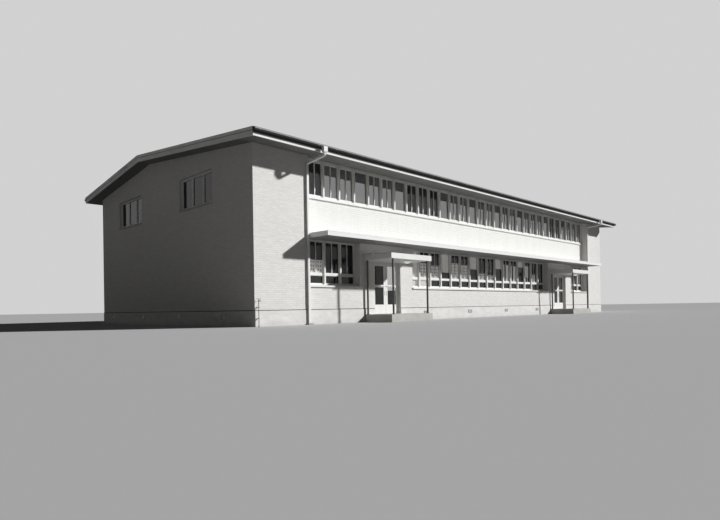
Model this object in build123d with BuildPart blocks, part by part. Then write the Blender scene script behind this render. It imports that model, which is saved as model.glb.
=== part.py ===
from build123d import *
import os
from math import radians, tan

# A two-storey brick school building, in millimetres.
# X runs along the front, Y from the front to the rear, and Z up from the lowest ground at the walls.
# The front is a long window band between two brick end panels, with an awning between the storeys.

# Plan
BAY = 900.0
BAYS = 30
END_STRIP = 180.0
PANEL_WIDTH = 2610.0
BUILDING_DEPTH = 15500.0
FRONT_WALL = 440.0
BRICK_WALL = 270.0
RECESS = 340.0
SIDE_WINDOW_BAYS = 3
PIER_BAYS = 1
DOOR_BAYS = 2

# Heights, each over the top of the plinth where it isn't the plinth's own
PLINTH_HEIGHT = 600.0
PLINTH_PROUD = 15.0
DOOR_STEP = 250.0
FLOOR_THICKNESS = 200.0
LOWER_SILL_HEIGHT = 1040.0
TRANSOM_HEIGHT = 1450.0
UPPER_FLOOR_HEIGHT = 3450.0
UPPER_SILL_HEIGHT = 4768.0
UPPER_HEAD_HEIGHT = 6305.0
CANOPY_HEIGHT = 2179.0
DOOR_MID_HEIGHT = 1000.0

# Drops below the upper floor and below the heads of the upper windows
AWNING_DROP = 498.0
EAVE_DROP = 83.0
WALL_HEAD_DROP = 377.0

# Levels over the ground
LOWER_SILL_LEVEL = PLINTH_HEIGHT + LOWER_SILL_HEIGHT
TRANSOM_LEVEL = PLINTH_HEIGHT + TRANSOM_HEIGHT
UPPER_FLOOR_LEVEL = PLINTH_HEIGHT + UPPER_FLOOR_HEIGHT
AWNING_LEVEL = UPPER_FLOOR_LEVEL - AWNING_DROP
UPPER_SILL_LEVEL = PLINTH_HEIGHT + UPPER_SILL_HEIGHT
UPPER_HEAD_LEVEL = PLINTH_HEIGHT + UPPER_HEAD_HEIGHT
EAVE_LEVEL = UPPER_HEAD_LEVEL - EAVE_DROP
CANOPY_LEVEL = PLINTH_HEIGHT + CANOPY_HEIGHT
DOOR_MID_LEVEL = PLINTH_HEIGHT + DOOR_MID_HEIGHT

# Windows of the front
FRAME_DEPTH = 100.0
FRAME_EDGE = 70.0
MULLION = 100.0
TRANSOM = 110.0
PANE = 8.0
SILL_HEIGHT = 100.0
SILL_REACH = 60.0
SILL_FALL = 25.0

# Windows of the brick walls
WINDOW_WIDTH = 2920.0
WINDOW_HEIGHT = 1371.0
WINDOW_LIGHTS = 3
WINDOW_REVEAL = 135.0
WINDOW_FRAME_DEPTH = 80.0
WINDOW_SILL_HEIGHT = 80.0
WINDOW_SILL_REACH = 40.0
FRONT_GABLE_WINDOW = 4490.0
REAR_GABLE_WINDOW = 11550.0
REAR_WINDOWS = 7
REAR_WINDOW_PITCH = 4500.0

# Awning
AWNING_REACH = 1150.0
AWNING_EDGE = 190.0
AWNING_FALL = 30.0
AWNING_END_GAP = 50.0

# Roof
FRONT_PITCH = 6.0
REAR_PITCH = 7.0
RIDGE_DEPTH = 9050.0
EAVE_REACH = 960.0
GABLE_REACH = 560.0
ROOF_THICKNESS = 290.0
BARGE_THICKNESS = 30.0
BARGE_STEP = 20.0
BARGE_TIER = 163.0
FASCIA_THICKNESS = 25.0
FASCIA_HEIGHT = 235.0
GUTTER_WIDTH = 120.0
GUTTER_HEIGHT = 115.0
GUTTER_WALL = 4.0
GUTTER_LIP = 60.0
GUTTER_BASE = 60.0
RIDGE_CAP_REACH = 180.0
RIDGE_CAP_THICKNESS = 12.0

# Rainwater pipes
HEAD_WIDTH = 190.0
HEAD_DEPTH = 150.0
HEAD_HEIGHT = 260.0
HEAD_TAPER = 60.0
HEAD_BELOW_GUTTER_TOP = 40.0
HEAD_WALL = 8.0
HEAD_SHIFT = 70.0
PIPE_WIDTH = 100.0
PIPE_DEPTH = 75.0
PIPE_WALL_GAP = 20.0
PIPE_EDGE_GAP = 70.0
REAR_PIPE_INSET = 660.0
PIPE_NECK = 75.0
PIPE_SLOPE_DROP = 110.0
PIPE_BEND = 65.0
PIPE_FOOT = 60.0

# Porches
CANOPY_WIDTH = 2750.0
CANOPY_SHIFT = 120.0
CANOPY_REACH = 1650.0
CANOPY_THICKNESS = 220.0
POST_DIAMETER = 90.0
POST_INSET = 110.0
POST_SIDE_INSET = 200.0
POST_CORNER_INSET = 55.0
SLAB_MARGIN = 30.0

# Doors
DOOR_RECESS = 150.0
DOOR_FRAME_WIDTH = 50.0
DOOR_FRAME_DEPTH = 110.0
DOOR_GAP = 6.0
DOOR_THICKNESS = 45.0
DOOR_STILE = 130.0
DOOR_TOP_RAIL = 130.0
DOOR_MID_RAIL = 110.0
DOOR_BOTTOM_RAIL = 430.0
DOOR_PANE = 8.0
PUSH_BAR_DIAMETER = 30.0
PUSH_BAR_REACH = 42.0
PUSH_BAR_INSET = 175.0
HINGE_RADIUS = 9.0
HINGE_HEIGHT = 60.0
HINGE_PLATE = 3.0
HINGE_PLATE_WIDTH = 30.0
HINGE_PLAY = 0.3
HINGE_CLEARANCE = 1.0
HINGE_END_INSET = 300.0

# Derived places along the front
BAND_HALF = BAYS * BAY / 2
PANEL_EDGE = BAND_HALF + END_STRIP
HALF_LENGTH = PANEL_EDGE + PANEL_WIDTH
DOOR_START = SIDE_WINDOW_BAYS + PIER_BAYS
DOOR_END = DOOR_START + DOOR_BAYS
MIDDLE_START = DOOR_END + PIER_BAYS
DOOR_SPANS = [(DOOR_START, DOOR_END), (BAYS - DOOR_END, BAYS - DOOR_START)]
WINDOW_SPANS = [(0, SIDE_WINDOW_BAYS), (MIDDLE_START, BAYS - MIDDLE_START), (BAYS - SIDE_WINDOW_BAYS, BAYS)]
PIER_SPANS = [
    (SIDE_WINDOW_BAYS, DOOR_START),
    (DOOR_END, MIDDLE_START),
    (BAYS - MIDDLE_START, BAYS - DOOR_END),
    (BAYS - DOOR_START, BAYS - SIDE_WINDOW_BAYS),
]

# Derived places from front to rear
HEAD_CENTRE = EAVE_REACH + FASCIA_THICKNESS + GUTTER_WIDTH + HEAD_DEPTH / 2
REAR_REACH = HEAD_CENTRE + HEAD_DEPTH / 2
FRONT_Y = (CANOPY_REACH - BUILDING_DEPTH - REAR_REACH) / 2
REAR_Y = FRONT_Y + BUILDING_DEPTH
FRAME_Y = FRONT_Y + RECESS
RIDGE_Y = FRONT_Y + RIDGE_DEPTH
AWNING_Y = FRONT_Y - AWNING_REACH
FLOOR_LEVEL = PLINTH_HEIGHT - DOOR_STEP
STOREY_HEIGHT = UPPER_FLOOR_LEVEL - FLOOR_LEVEL
WINDOW_SILL_LEVEL = UPPER_HEAD_LEVEL - WALL_HEAD_DROP - WINDOW_HEIGHT
AWNING_TOP = AWNING_LEVEL + AWNING_EDGE + AWNING_FALL
RIDGE_LEVEL = EAVE_LEVEL + (RIDGE_DEPTH + EAVE_REACH) * tan(radians(FRONT_PITCH))
SPLIT_LEVEL = UPPER_FLOOR_LEVEL


def line_x(line):
    """Place along the front of a window line, counted from the left."""
    return line * BAY - BAND_HALF


def roof_underside(y):
    """Height of the underside of the roof at a place between front and rear."""
    if y < RIDGE_Y:
        return RIDGE_LEVEL - (RIDGE_Y - y) * tan(radians(FRONT_PITCH))
    return RIDGE_LEVEL - (y - RIDGE_Y) * tan(radians(REAR_PITCH))


def block(x_span, y_span, z_span):
    """A square-edged block between three pairs of limits, added to the part in hand."""
    with Locations((x_span[0], y_span[0], z_span[0])):
        Box(
            x_span[1] - x_span[0],
            y_span[1] - y_span[0],
            z_span[1] - z_span[0],
            align=(Align.MIN, Align.MIN, Align.MIN),
        )


def window_edges(span):
    """Outer limits of a window group, which runs on to the end panels at the ends of the front."""
    left = -PANEL_EDGE if span[0] == 0 else line_x(span[0])
    right = PANEL_EDGE if span[1] == BAYS else line_x(span[1])
    return left, right


def light_edges(span, bay):
    """Clear limits of one light, between mullions or against the frame's edge."""
    left = line_x(bay) + (FRAME_EDGE if bay == span[0] else MULLION / 2)
    right = line_x(bay + 1) - (FRAME_EDGE if bay + 1 == span[1] else MULLION / 2)
    return left, right


# Plinth and floors
with BuildPart() as plinth_front:
    front_edges = [-HALF_LENGTH - PLINTH_PROUD]
    for span in DOOR_SPANS:
        front_edges += [line_x(span[0]), line_x(span[1])]
    front_edges.append(HALF_LENGTH + PLINTH_PROUD)
    for left, right in zip(front_edges[0::2], front_edges[1::2]):
        block((left, right), (FRONT_Y - PLINTH_PROUD, FRONT_Y + FRONT_WALL), (0, PLINTH_HEIGHT))
plinth_front.part.label = "plinth_front"

with BuildPart() as plinth_sides:
    for side in (-1, 1):
        outer = side * (HALF_LENGTH + PLINTH_PROUD)
        inner = side * (HALF_LENGTH - BRICK_WALL)
        block(sorted((outer, inner)), (FRONT_Y + FRONT_WALL, REAR_Y - BRICK_WALL), (0, PLINTH_HEIGHT))
plinth_sides.part.label = "plinth_sides"

with BuildPart() as plinth_rear:
    block(
        (-HALF_LENGTH - PLINTH_PROUD, HALF_LENGTH + PLINTH_PROUD),
        (REAR_Y - BRICK_WALL, REAR_Y + PLINTH_PROUD),
        (0, PLINTH_HEIGHT),
    )
plinth_rear.part.label = "plinth_rear"

with BuildPart() as ground_floor:
    block(
        (BRICK_WALL - HALF_LENGTH, HALF_LENGTH - BRICK_WALL),
        (FRONT_Y + FRONT_WALL, REAR_Y - BRICK_WALL),
        (FLOOR_LEVEL - FLOOR_THICKNESS, FLOOR_LEVEL),
    )
ground_floor.part.label = "ground_floor"

with BuildPart() as upper_floor:
    block(
        (BRICK_WALL - HALF_LENGTH, HALF_LENGTH - BRICK_WALL),
        (FRONT_Y + FRONT_WALL, REAR_Y - BRICK_WALL),
        (UPPER_FLOOR_LEVEL - FLOOR_THICKNESS, UPPER_FLOOR_LEVEL),
    )
upper_floor.part.label = "upper_floor"

# Places of the windows in the brick walls: planes on the outer face, at the middle of each sill
GABLE_WINDOW_DEPTHS = (FRONT_GABLE_WINDOW, REAR_GABLE_WINDOW)
west_windows = [
    Plane(origin=(-HALF_LENGTH, FRONT_Y + depth, WINDOW_SILL_LEVEL), x_dir=(0, -1, 0), z_dir=(-1, 0, 0))
    for depth in GABLE_WINDOW_DEPTHS
]
east_windows = [
    Plane(origin=(HALF_LENGTH, FRONT_Y + depth, WINDOW_SILL_LEVEL), x_dir=(0, 1, 0), z_dir=(1, 0, 0))
    for depth in GABLE_WINDOW_DEPTHS
]
rear_places = [(index - (REAR_WINDOWS - 1) / 2) * REAR_WINDOW_PITCH for index in range(REAR_WINDOWS)]
upper_rear_windows = [
    Plane(origin=(x, REAR_Y, WINDOW_SILL_LEVEL), x_dir=(-1, 0, 0), z_dir=(0, 1, 0)) for x in rear_places
]
lower_rear_windows = [
    Plane(origin=(x, REAR_Y, WINDOW_SILL_LEVEL - STOREY_HEIGHT), x_dir=(-1, 0, 0), z_dir=(0, 1, 0))
    for x in rear_places
]
brick_wall_windows = west_windows + east_windows + upper_rear_windows + lower_rear_windows


def cut_windows(places):
    """Cut each window with room for its sill through the wall in hand."""
    for place in places:
        with BuildSketch(place) as opening:
            with Locations((0, -WINDOW_SILL_HEIGHT)):
                Rectangle(
                    WINDOW_WIDTH,
                    WINDOW_HEIGHT + WINDOW_SILL_HEIGHT,
                    align=(Align.CENTER, Align.MIN),
                )
        extrude(opening.sketch, amount=-BRICK_WALL, mode=Mode.SUBTRACT)


# Brick walls
with BuildPart() as gable_walls_lower:
    for side in (-1, 1):
        outer = side * HALF_LENGTH
        inner = side * (HALF_LENGTH - BRICK_WALL)
        block(sorted((outer, inner)), (FRONT_Y, REAR_Y), (PLINTH_HEIGHT, SPLIT_LEVEL))
gable_walls_lower.part.label = "gable_walls_lower"

with BuildPart() as gable_walls_upper:
    for start in (-HALF_LENGTH, HALF_LENGTH - BRICK_WALL):
        with BuildSketch(Plane.YZ.offset(start)):
            with BuildLine():
                Polyline(
                    (FRONT_Y, SPLIT_LEVEL),
                    (REAR_Y, SPLIT_LEVEL),
                    (REAR_Y, roof_underside(REAR_Y)),
                    (RIDGE_Y, RIDGE_LEVEL),
                    (FRONT_Y, roof_underside(FRONT_Y)),
                    close=True,
                )
            make_face()
        extrude(amount=BRICK_WALL)
    cut_windows(west_windows + east_windows)
gable_walls_upper.part.label = "gable_walls_upper"

with BuildPart() as end_panels:
    for start in (BRICK_WALL - HALF_LENGTH, PANEL_EDGE):
        with BuildSketch(Plane.YZ.offset(start)):
            with BuildLine():
                Polyline(
                    (FRONT_Y, PLINTH_HEIGHT),
                    (FRONT_Y + FRONT_WALL, PLINTH_HEIGHT),
                    (FRONT_Y + FRONT_WALL, roof_underside(FRONT_Y + FRONT_WALL)),
                    (FRONT_Y, roof_underside(FRONT_Y)),
                    close=True,
                )
            make_face()
        extrude(amount=PANEL_WIDTH - BRICK_WALL)
end_panels.part.label = "end_panels"

with BuildPart() as base_walls:
    for span in WINDOW_SPANS:
        block(
            window_edges(span),
            (FRONT_Y, FRONT_Y + FRONT_WALL),
            (PLINTH_HEIGHT, LOWER_SILL_LEVEL - SILL_HEIGHT),
        )
base_walls.part.label = "base_walls"

with BuildPart() as door_piers:
    for span in PIER_SPANS:
        block(
            (line_x(span[0]), line_x(span[1])),
            (FRONT_Y, FRONT_Y + FRONT_WALL),
            (PLINTH_HEIGHT, AWNING_LEVEL),
        )
door_piers.part.label = "door_piers"

with BuildPart() as door_lintels:
    for span in DOOR_SPANS:
        block(
            (line_x(span[0]), line_x(span[1])),
            (FRONT_Y, FRONT_Y + FRONT_WALL),
            (CANOPY_LEVEL, AWNING_LEVEL),
        )
door_lintels.part.label = "door_lintels"

with BuildPart() as rear_wall_lower:
    block(
        (BRICK_WALL - HALF_LENGTH, HALF_LENGTH - BRICK_WALL),
        (REAR_Y - BRICK_WALL, REAR_Y),
        (PLINTH_HEIGHT, SPLIT_LEVEL),
    )
    cut_windows(lower_rear_windows)
rear_wall_lower.part.label = "rear_wall_lower"

with BuildPart() as rear_wall_upper:
    with BuildSketch(Plane.YZ.offset(BRICK_WALL - HALF_LENGTH)):
        with BuildLine():
            Polyline(
                (REAR_Y - BRICK_WALL, SPLIT_LEVEL),
                (REAR_Y, SPLIT_LEVEL),
                (REAR_Y, roof_underside(REAR_Y)),
                (REAR_Y - BRICK_WALL, roof_underside(REAR_Y - BRICK_WALL)),
                close=True,
            )
        make_face()
    extrude(amount=2 * (HALF_LENGTH - BRICK_WALL))
    cut_windows(upper_rear_windows)
rear_wall_upper.part.label = "rear_wall_upper"

# Windows in the brick walls
LIGHT_PITCH = (WINDOW_WIDTH - 2 * FRAME_EDGE + MULLION) / WINDOW_LIGHTS

with BuildPart() as brick_wall_frames:
    for place in brick_wall_windows:
        with BuildSketch(place.offset(-WINDOW_REVEAL)):
            Rectangle(WINDOW_WIDTH, WINDOW_HEIGHT, align=(Align.CENTER, Align.MIN))
            with Locations((0, WINDOW_HEIGHT / 2)):
                with GridLocations(LIGHT_PITCH, 0, WINDOW_LIGHTS, 1):
                    Rectangle(LIGHT_PITCH - MULLION, WINDOW_HEIGHT - 2 * FRAME_EDGE, mode=Mode.SUBTRACT)
        extrude(amount=-WINDOW_FRAME_DEPTH)
brick_wall_frames.part.label = "brick_wall_frames"

with BuildPart() as brick_wall_glass:
    for place in brick_wall_windows:
        with BuildSketch(place.offset(-WINDOW_REVEAL - (WINDOW_FRAME_DEPTH - PANE) / 2)):
            with Locations((0, WINDOW_HEIGHT / 2)):
                with GridLocations(LIGHT_PITCH, 0, WINDOW_LIGHTS, 1):
                    Rectangle(LIGHT_PITCH - MULLION, WINDOW_HEIGHT - 2 * FRAME_EDGE)
        extrude(amount=-PANE)
brick_wall_glass.part.label = "brick_wall_glass"

with BuildPart() as brick_wall_sills:
    for place in brick_wall_windows:
        profile_plane = Plane(origin=place.origin, x_dir=place.z_dir, z_dir=-place.x_dir)
        with BuildSketch(profile_plane.offset(-WINDOW_WIDTH / 2)):
            with BuildLine():
                Polyline(
                    (-BRICK_WALL, -WINDOW_SILL_HEIGHT),
                    (WINDOW_SILL_REACH, -WINDOW_SILL_HEIGHT),
                    (WINDOW_SILL_REACH, -SILL_FALL),
                    (-WINDOW_REVEAL, 0),
                    (-BRICK_WALL, 0),
                    close=True,
                )
            make_face()
        extrude(amount=WINDOW_WIDTH)
brick_wall_sills.part.label = "brick_wall_sills"


def frame_sketch(span, bottom, top, rails):
    """Outline of a row of windows with its lights cut out, between the given rail heights."""
    left, right = window_edges(span)
    with Locations((left, bottom)):
        Rectangle(right - left, top - bottom, align=(Align.MIN, Align.MIN))
    for bay in range(span[0], span[1]):
        light_left, light_right = light_edges(span, bay)
        for low, high in rails:
            with Locations((light_left, low)):
                Rectangle(
                    light_right - light_left,
                    high - low,
                    align=(Align.MIN, Align.MIN),
                    mode=Mode.SUBTRACT,
                )


def pane_sketch(span, rails):
    """One pane for each light of a row of windows."""
    for bay in range(span[0], span[1]):
        light_left, light_right = light_edges(span, bay)
        for low, high in rails:
            with Locations((light_left, low)):
                Rectangle(light_right - light_left, high - low, align=(Align.MIN, Align.MIN))


# Windows of the front
LOWER_RAILS = [
    (LOWER_SILL_LEVEL + FRAME_EDGE, TRANSOM_LEVEL),
    (TRANSOM_LEVEL + TRANSOM, AWNING_LEVEL - FRAME_EDGE),
]
UPPER_RAILS = [(UPPER_SILL_LEVEL + FRAME_EDGE, UPPER_HEAD_LEVEL - FRAME_EDGE)]
PANE_Y = FRAME_Y + (FRAME_DEPTH - PANE) / 2

with BuildPart() as lower_window_frames:
    with BuildSketch(Plane.XZ.offset(-FRAME_Y)):
        for span in WINDOW_SPANS:
            frame_sketch(span, LOWER_SILL_LEVEL, AWNING_LEVEL, LOWER_RAILS)
    extrude(amount=-FRAME_DEPTH)
lower_window_frames.part.label = "lower_window_frames"

with BuildPart() as lower_window_glass:
    with BuildSketch(Plane.XZ.offset(-PANE_Y)):
        for span in WINDOW_SPANS:
            pane_sketch(span, LOWER_RAILS)
    extrude(amount=-PANE)
lower_window_glass.part.label = "lower_window_glass"

with BuildPart() as upper_window_frame:
    with BuildSketch(Plane.XZ.offset(-FRAME_Y)):
        frame_sketch((0, BAYS), UPPER_SILL_LEVEL, UPPER_HEAD_LEVEL, UPPER_RAILS)
    extrude(amount=-FRAME_DEPTH)
upper_window_frame.part.label = "upper_window_frame"

with BuildPart() as upper_window_glass:
    with BuildSketch(Plane.XZ.offset(-PANE_Y)):
        pane_sketch((0, BAYS), UPPER_RAILS)
    extrude(amount=-PANE)
upper_window_glass.part.label = "upper_window_glass"


def sill_profile(level, reach):
    """Section of a sill with a weathered top in front of the window frame."""
    with BuildLine() as outline:
        Polyline(
            (FRONT_Y + FRONT_WALL, level - SILL_HEIGHT),
            (reach, level - SILL_HEIGHT),
            (reach, level - SILL_FALL),
            (FRAME_Y, level),
            (FRONT_Y + FRONT_WALL, level),
            close=True,
        )
    make_face(outline.edges())


with BuildPart() as lower_sills:
    for span in WINDOW_SPANS:
        left, right = window_edges(span)
        with BuildSketch(Plane.YZ.offset(left)):
            sill_profile(LOWER_SILL_LEVEL, FRONT_Y - SILL_REACH)
        extrude(amount=right - left)
lower_sills.part.label = "lower_sills"

with BuildPart() as upper_sill:
    with BuildSketch(Plane.YZ.offset(-PANEL_EDGE)):
        sill_profile(UPPER_SILL_LEVEL, FRAME_Y - SILL_REACH)
    extrude(amount=2 * PANEL_EDGE)
upper_sill.part.label = "upper_sill"

with BuildPart() as spandrel:
    block(
        (-PANEL_EDGE, PANEL_EDGE),
        (FRAME_Y, FRONT_Y + FRONT_WALL),
        (AWNING_TOP, UPPER_SILL_LEVEL - SILL_HEIGHT),
    )
spandrel.part.label = "spandrel"

with BuildPart() as front_wall_plate:
    with BuildSketch(Plane.YZ.offset(-PANEL_EDGE)):
        with BuildLine():
            Polyline(
                (FRAME_Y, UPPER_HEAD_LEVEL),
                (FRONT_Y + FRONT_WALL, UPPER_HEAD_LEVEL),
                (FRONT_Y + FRONT_WALL, roof_underside(FRONT_Y + FRONT_WALL)),
                (FRAME_Y, roof_underside(FRAME_Y)),
                close=True,
            )
        make_face()
    extrude(amount=2 * PANEL_EDGE)
front_wall_plate.part.label = "front_wall_plate"

def awning_top(y):
    """Height of the awning's sloping top at a place in front of the window frame."""
    return AWNING_TOP - AWNING_FALL * (FRAME_Y - y) / (FRAME_Y - AWNING_Y)


with BuildPart() as awning:
    with BuildSketch(Plane.YZ.offset(-PANEL_EDGE)):
        with BuildLine():
            Polyline(
                (FRONT_Y, AWNING_LEVEL),
                (FRONT_Y + FRONT_WALL, AWNING_LEVEL),
                (FRONT_Y + FRONT_WALL, AWNING_TOP),
                (FRAME_Y, AWNING_TOP),
                (FRONT_Y, awning_top(FRONT_Y)),
                close=True,
            )
        make_face()
    extrude(amount=2 * PANEL_EDGE)
    with BuildSketch(Plane.YZ.offset(AWNING_END_GAP - PANEL_EDGE)):
        with BuildLine():
            Polyline(
                (AWNING_Y, AWNING_LEVEL),
                (FRONT_Y, AWNING_LEVEL),
                (FRONT_Y, awning_top(FRONT_Y)),
                (AWNING_Y, awning_top(AWNING_Y)),
                close=True,
            )
        make_face()
    extrude(amount=2 * (PANEL_EDGE - AWNING_END_GAP))
awning.part.label = "awning"

# Roof
ROOF_HALF = HALF_LENGTH + GABLE_REACH
FRONT_EAVE_Y = FRONT_Y - EAVE_REACH
REAR_EAVE_Y = REAR_Y + EAVE_REACH


def roof_section(ends, lift, thickness):
    """Section of a band that follows the roof between given places, at a height over its underside."""
    points = [(y, roof_underside(y) + lift) for y in ends]
    points += [(y, roof_underside(y) + lift + thickness) for y in reversed(ends)]
    with BuildLine() as outline:
        Polyline(*points, close=True)
    make_face(outline.edges())


with BuildPart() as roof_slope_front:
    with BuildSketch(Plane.YZ.offset(-ROOF_HALF)):
        roof_section((FRONT_EAVE_Y, RIDGE_Y), 0, ROOF_THICKNESS)
    extrude(amount=2 * ROOF_HALF)
roof_slope_front.part.label = "roof_slope_front"

with BuildPart() as roof_slope_rear:
    with BuildSketch(Plane.YZ.offset(-ROOF_HALF)):
        roof_section((RIDGE_Y, REAR_EAVE_Y), 0, ROOF_THICKNESS)
    extrude(amount=2 * ROOF_HALF)
roof_slope_rear.part.label = "roof_slope_rear"

with BuildPart() as ridge_cap:
    with BuildSketch(Plane.YZ.offset(-ROOF_HALF)):
        roof_section(
            (RIDGE_Y - RIDGE_CAP_REACH, RIDGE_Y, RIDGE_Y + RIDGE_CAP_REACH),
            ROOF_THICKNESS,
            RIDGE_CAP_THICKNESS,
        )
    extrude(amount=2 * ROOF_HALF)
ridge_cap.part.label = "ridge_cap"

with BuildPart() as barge_boards:
    barge_ends = (FRONT_EAVE_Y - FASCIA_THICKNESS, RIDGE_Y, REAR_EAVE_Y + FASCIA_THICKNESS)
    for side in (-1, 1):
        with BuildSketch(Plane.YZ.offset(side * ROOF_HALF)):
            roof_section(barge_ends, 0, 2 * BARGE_TIER)
        extrude(amount=side * BARGE_THICKNESS)
        with BuildSketch(Plane.YZ.offset(side * (ROOF_HALF + BARGE_THICKNESS))):
            roof_section(barge_ends, BARGE_TIER, BARGE_TIER)
        extrude(amount=side * BARGE_STEP)
barge_boards.part.label = "barge_boards"


def eave_level(rear):
    """Height of the underside of the roof at the front or the rear eave."""
    return roof_underside(REAR_EAVE_Y if rear else FRONT_EAVE_Y)


with BuildPart() as fascias:
    for start, rear in ((FRONT_EAVE_Y - FASCIA_THICKNESS, False), (REAR_EAVE_Y, True)):
        level = eave_level(rear)
        block((-ROOF_HALF, ROOF_HALF), (start, start + FASCIA_THICKNESS), (level, level + FASCIA_HEIGHT))
fascias.part.label = "fascias"

GUTTER_HALF = ROOF_HALF + BARGE_THICKNESS + BARGE_STEP


def gutter_outline(back_y, top, outward, inset):
    """Points of the gutter's section from back to front, on its outside or at an inset from it."""
    bottom = top - GUTTER_HEIGHT + inset
    return [
        (back_y + outward * inset, top),
        (back_y + outward * inset, bottom),
        (back_y + outward * (GUTTER_BASE - inset), bottom),
        (back_y + outward * (GUTTER_WIDTH - inset), top - GUTTER_LIP),
        (back_y + outward * (GUTTER_WIDTH - inset), top),
    ]


with BuildPart() as gutters:
    for eave_y, outward, rear in ((FRONT_EAVE_Y, -1, False), (REAR_EAVE_Y, 1, True)):
        top = eave_level(rear) + FASCIA_HEIGHT
        back_y = eave_y + outward * FASCIA_THICKNESS
        outside = gutter_outline(back_y, top, outward, 0)
        inside = gutter_outline(back_y, top, outward, GUTTER_WALL)
        with BuildSketch(Plane.YZ.offset(-GUTTER_HALF)):
            with BuildLine():
                Polyline(*outside, *reversed(inside), close=True)
            make_face()
        extrude(amount=2 * GUTTER_HALF)
gutters.part.label = "gutters"


# Rainwater heads and pipes, one pair at the front and one at the rear
def head_places():
    """Centre of each rainwater head, the place of its pipe on the wall, and the top of the head."""
    places = []
    for outward, wall_y, rear in ((-1, FRONT_Y, False), (1, REAR_Y, True)):
        top = eave_level(rear) + FASCIA_HEIGHT - HEAD_BELOW_GUTTER_TOP
        head_y = wall_y + outward * HEAD_CENTRE
        pipe_y = wall_y + outward * (PIPE_WALL_GAP + PIPE_DEPTH / 2)
        for side in (-1, 1):
            head_x = side * (HALF_LENGTH - REAR_PIPE_INSET) if rear else side * PANEL_EDGE - HEAD_SHIFT
            pipe_x = head_x if rear else side * (PANEL_EDGE + PIPE_EDGE_GAP)
            places.append(((head_x, head_y), (pipe_x, pipe_y), top))
    return places


with BuildPart() as rainwater_heads:
    for centre, _, top in head_places():
        with BuildSketch(Plane.XY.offset(top)):
            with Locations(centre):
                Rectangle(HEAD_WIDTH, HEAD_DEPTH)
        extrude(amount=-(HEAD_HEIGHT - HEAD_TAPER))
        with BuildSketch(Plane.XY.offset(top - HEAD_HEIGHT + HEAD_TAPER)):
            with Locations(centre):
                Rectangle(HEAD_WIDTH, HEAD_DEPTH)
        with BuildSketch(Plane.XY.offset(top - HEAD_HEIGHT)):
            with Locations(centre):
                Rectangle(PIPE_WIDTH + 2 * HEAD_WALL, PIPE_DEPTH + 2 * HEAD_WALL)
        loft()
rainwater_heads.part.label = "rainwater_heads"

with BuildPart() as downpipes:
    for centre, wall_place, top in head_places():
        start_z = top - HEAD_HEIGHT
        with BuildLine() as route:
            FilletPolyline(
                (*centre, start_z),
                (*centre, start_z - PIPE_NECK),
                (*wall_place, start_z - PIPE_NECK - PIPE_SLOPE_DROP),
                (*wall_place, PIPE_FOOT),
                radius=PIPE_BEND,
            )
        with BuildSketch(Plane.XY.offset(start_z)):
            with Locations(centre):
                Rectangle(PIPE_WIDTH, PIPE_DEPTH)
        sweep(path=route.line)
downpipes.part.label = "downpipes"

# Porches
DOOR_CENTRES = [(line_x(span[0]) + line_x(span[1])) / 2 for span in DOOR_SPANS]

CANOPY_CENTRES = [centre - CANOPY_SHIFT for centre in DOOR_CENTRES]

with BuildPart() as porch_canopies:
    for centre in CANOPY_CENTRES:
        with BuildSketch(Plane.XY.offset(CANOPY_LEVEL)):
            with Locations((centre, FRONT_Y)):
                Rectangle(CANOPY_WIDTH, CANOPY_REACH, align=(Align.CENTER, Align.MAX))
        extrude(amount=CANOPY_THICKNESS)
porch_canopies.part.label = "porch_canopies"

with BuildPart() as porch_posts:
    front_row = FRONT_Y - CANOPY_REACH + POST_INSET
    post_half = CANOPY_WIDTH / 2 - POST_SIDE_INSET
    corner_half = CANOPY_WIDTH / 2 - POST_CORNER_INSET
    for centre in CANOPY_CENTRES:
        with BuildSketch(Plane.XY.offset(FLOOR_LEVEL)):
            with Locations(
                (centre - post_half, front_row),
                (centre + post_half, front_row),
                (centre - corner_half, FRONT_Y - POST_INSET),
            ):
                Circle(POST_DIAMETER / 2)
        extrude(amount=CANOPY_LEVEL - FLOOR_LEVEL)
porch_posts.part.label = "porch_posts"

with BuildPart() as porch_slabs:
    for door_centre, centre in zip(DOOR_CENTRES, CANOPY_CENTRES):
        with BuildSketch():
            with Locations((centre, FRONT_Y - PLINTH_PROUD)):
                Rectangle(
                    CANOPY_WIDTH + 2 * SLAB_MARGIN,
                    CANOPY_REACH - PLINTH_PROUD,
                    align=(Align.CENTER, Align.MAX),
                )
            with Locations((door_centre, FRONT_Y - PLINTH_PROUD)):
                Rectangle(DOOR_BAYS * BAY, FRONT_WALL + PLINTH_PROUD, align=(Align.CENTER, Align.MIN))
        extrude(amount=FLOOR_LEVEL)
porch_slabs.part.label = "porch_slabs"

# Doors
DOOR_Y = FRONT_Y + DOOR_RECESS
DOOR_TOP = CANOPY_LEVEL - DOOR_FRAME_WIDTH - DOOR_GAP
DOOR_BOTTOM = FLOOR_LEVEL + DOOR_GAP
OPENING = DOOR_BAYS * BAY
HINGE_Y = DOOR_Y - HINGE_RADIUS - HINGE_CLEARANCE
HINGE_LEVELS = [DOOR_BOTTOM + HINGE_END_INSET, (DOOR_BOTTOM + DOOR_TOP) / 2, DOOR_TOP - HINGE_END_INSET]
LEAF_WIDTH = OPENING / 2 - DOOR_FRAME_WIDTH - DOOR_GAP - DOOR_GAP / 2
GLASS_WIDTH = LEAF_WIDTH - 2 * DOOR_STILE
LEAF_RAILS = [
    (DOOR_BOTTOM + DOOR_BOTTOM_RAIL, DOOR_MID_LEVEL),
    (DOOR_MID_LEVEL + DOOR_MID_RAIL, DOOR_TOP - DOOR_TOP_RAIL),
]


def hinge_axis(centre, side):
    """Place along the front of a leaf's hinges, midway in the gap between leaf and frame."""
    return centre + side * (OPENING / 2 - DOOR_FRAME_WIDTH - DOOR_GAP / 2)


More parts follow.
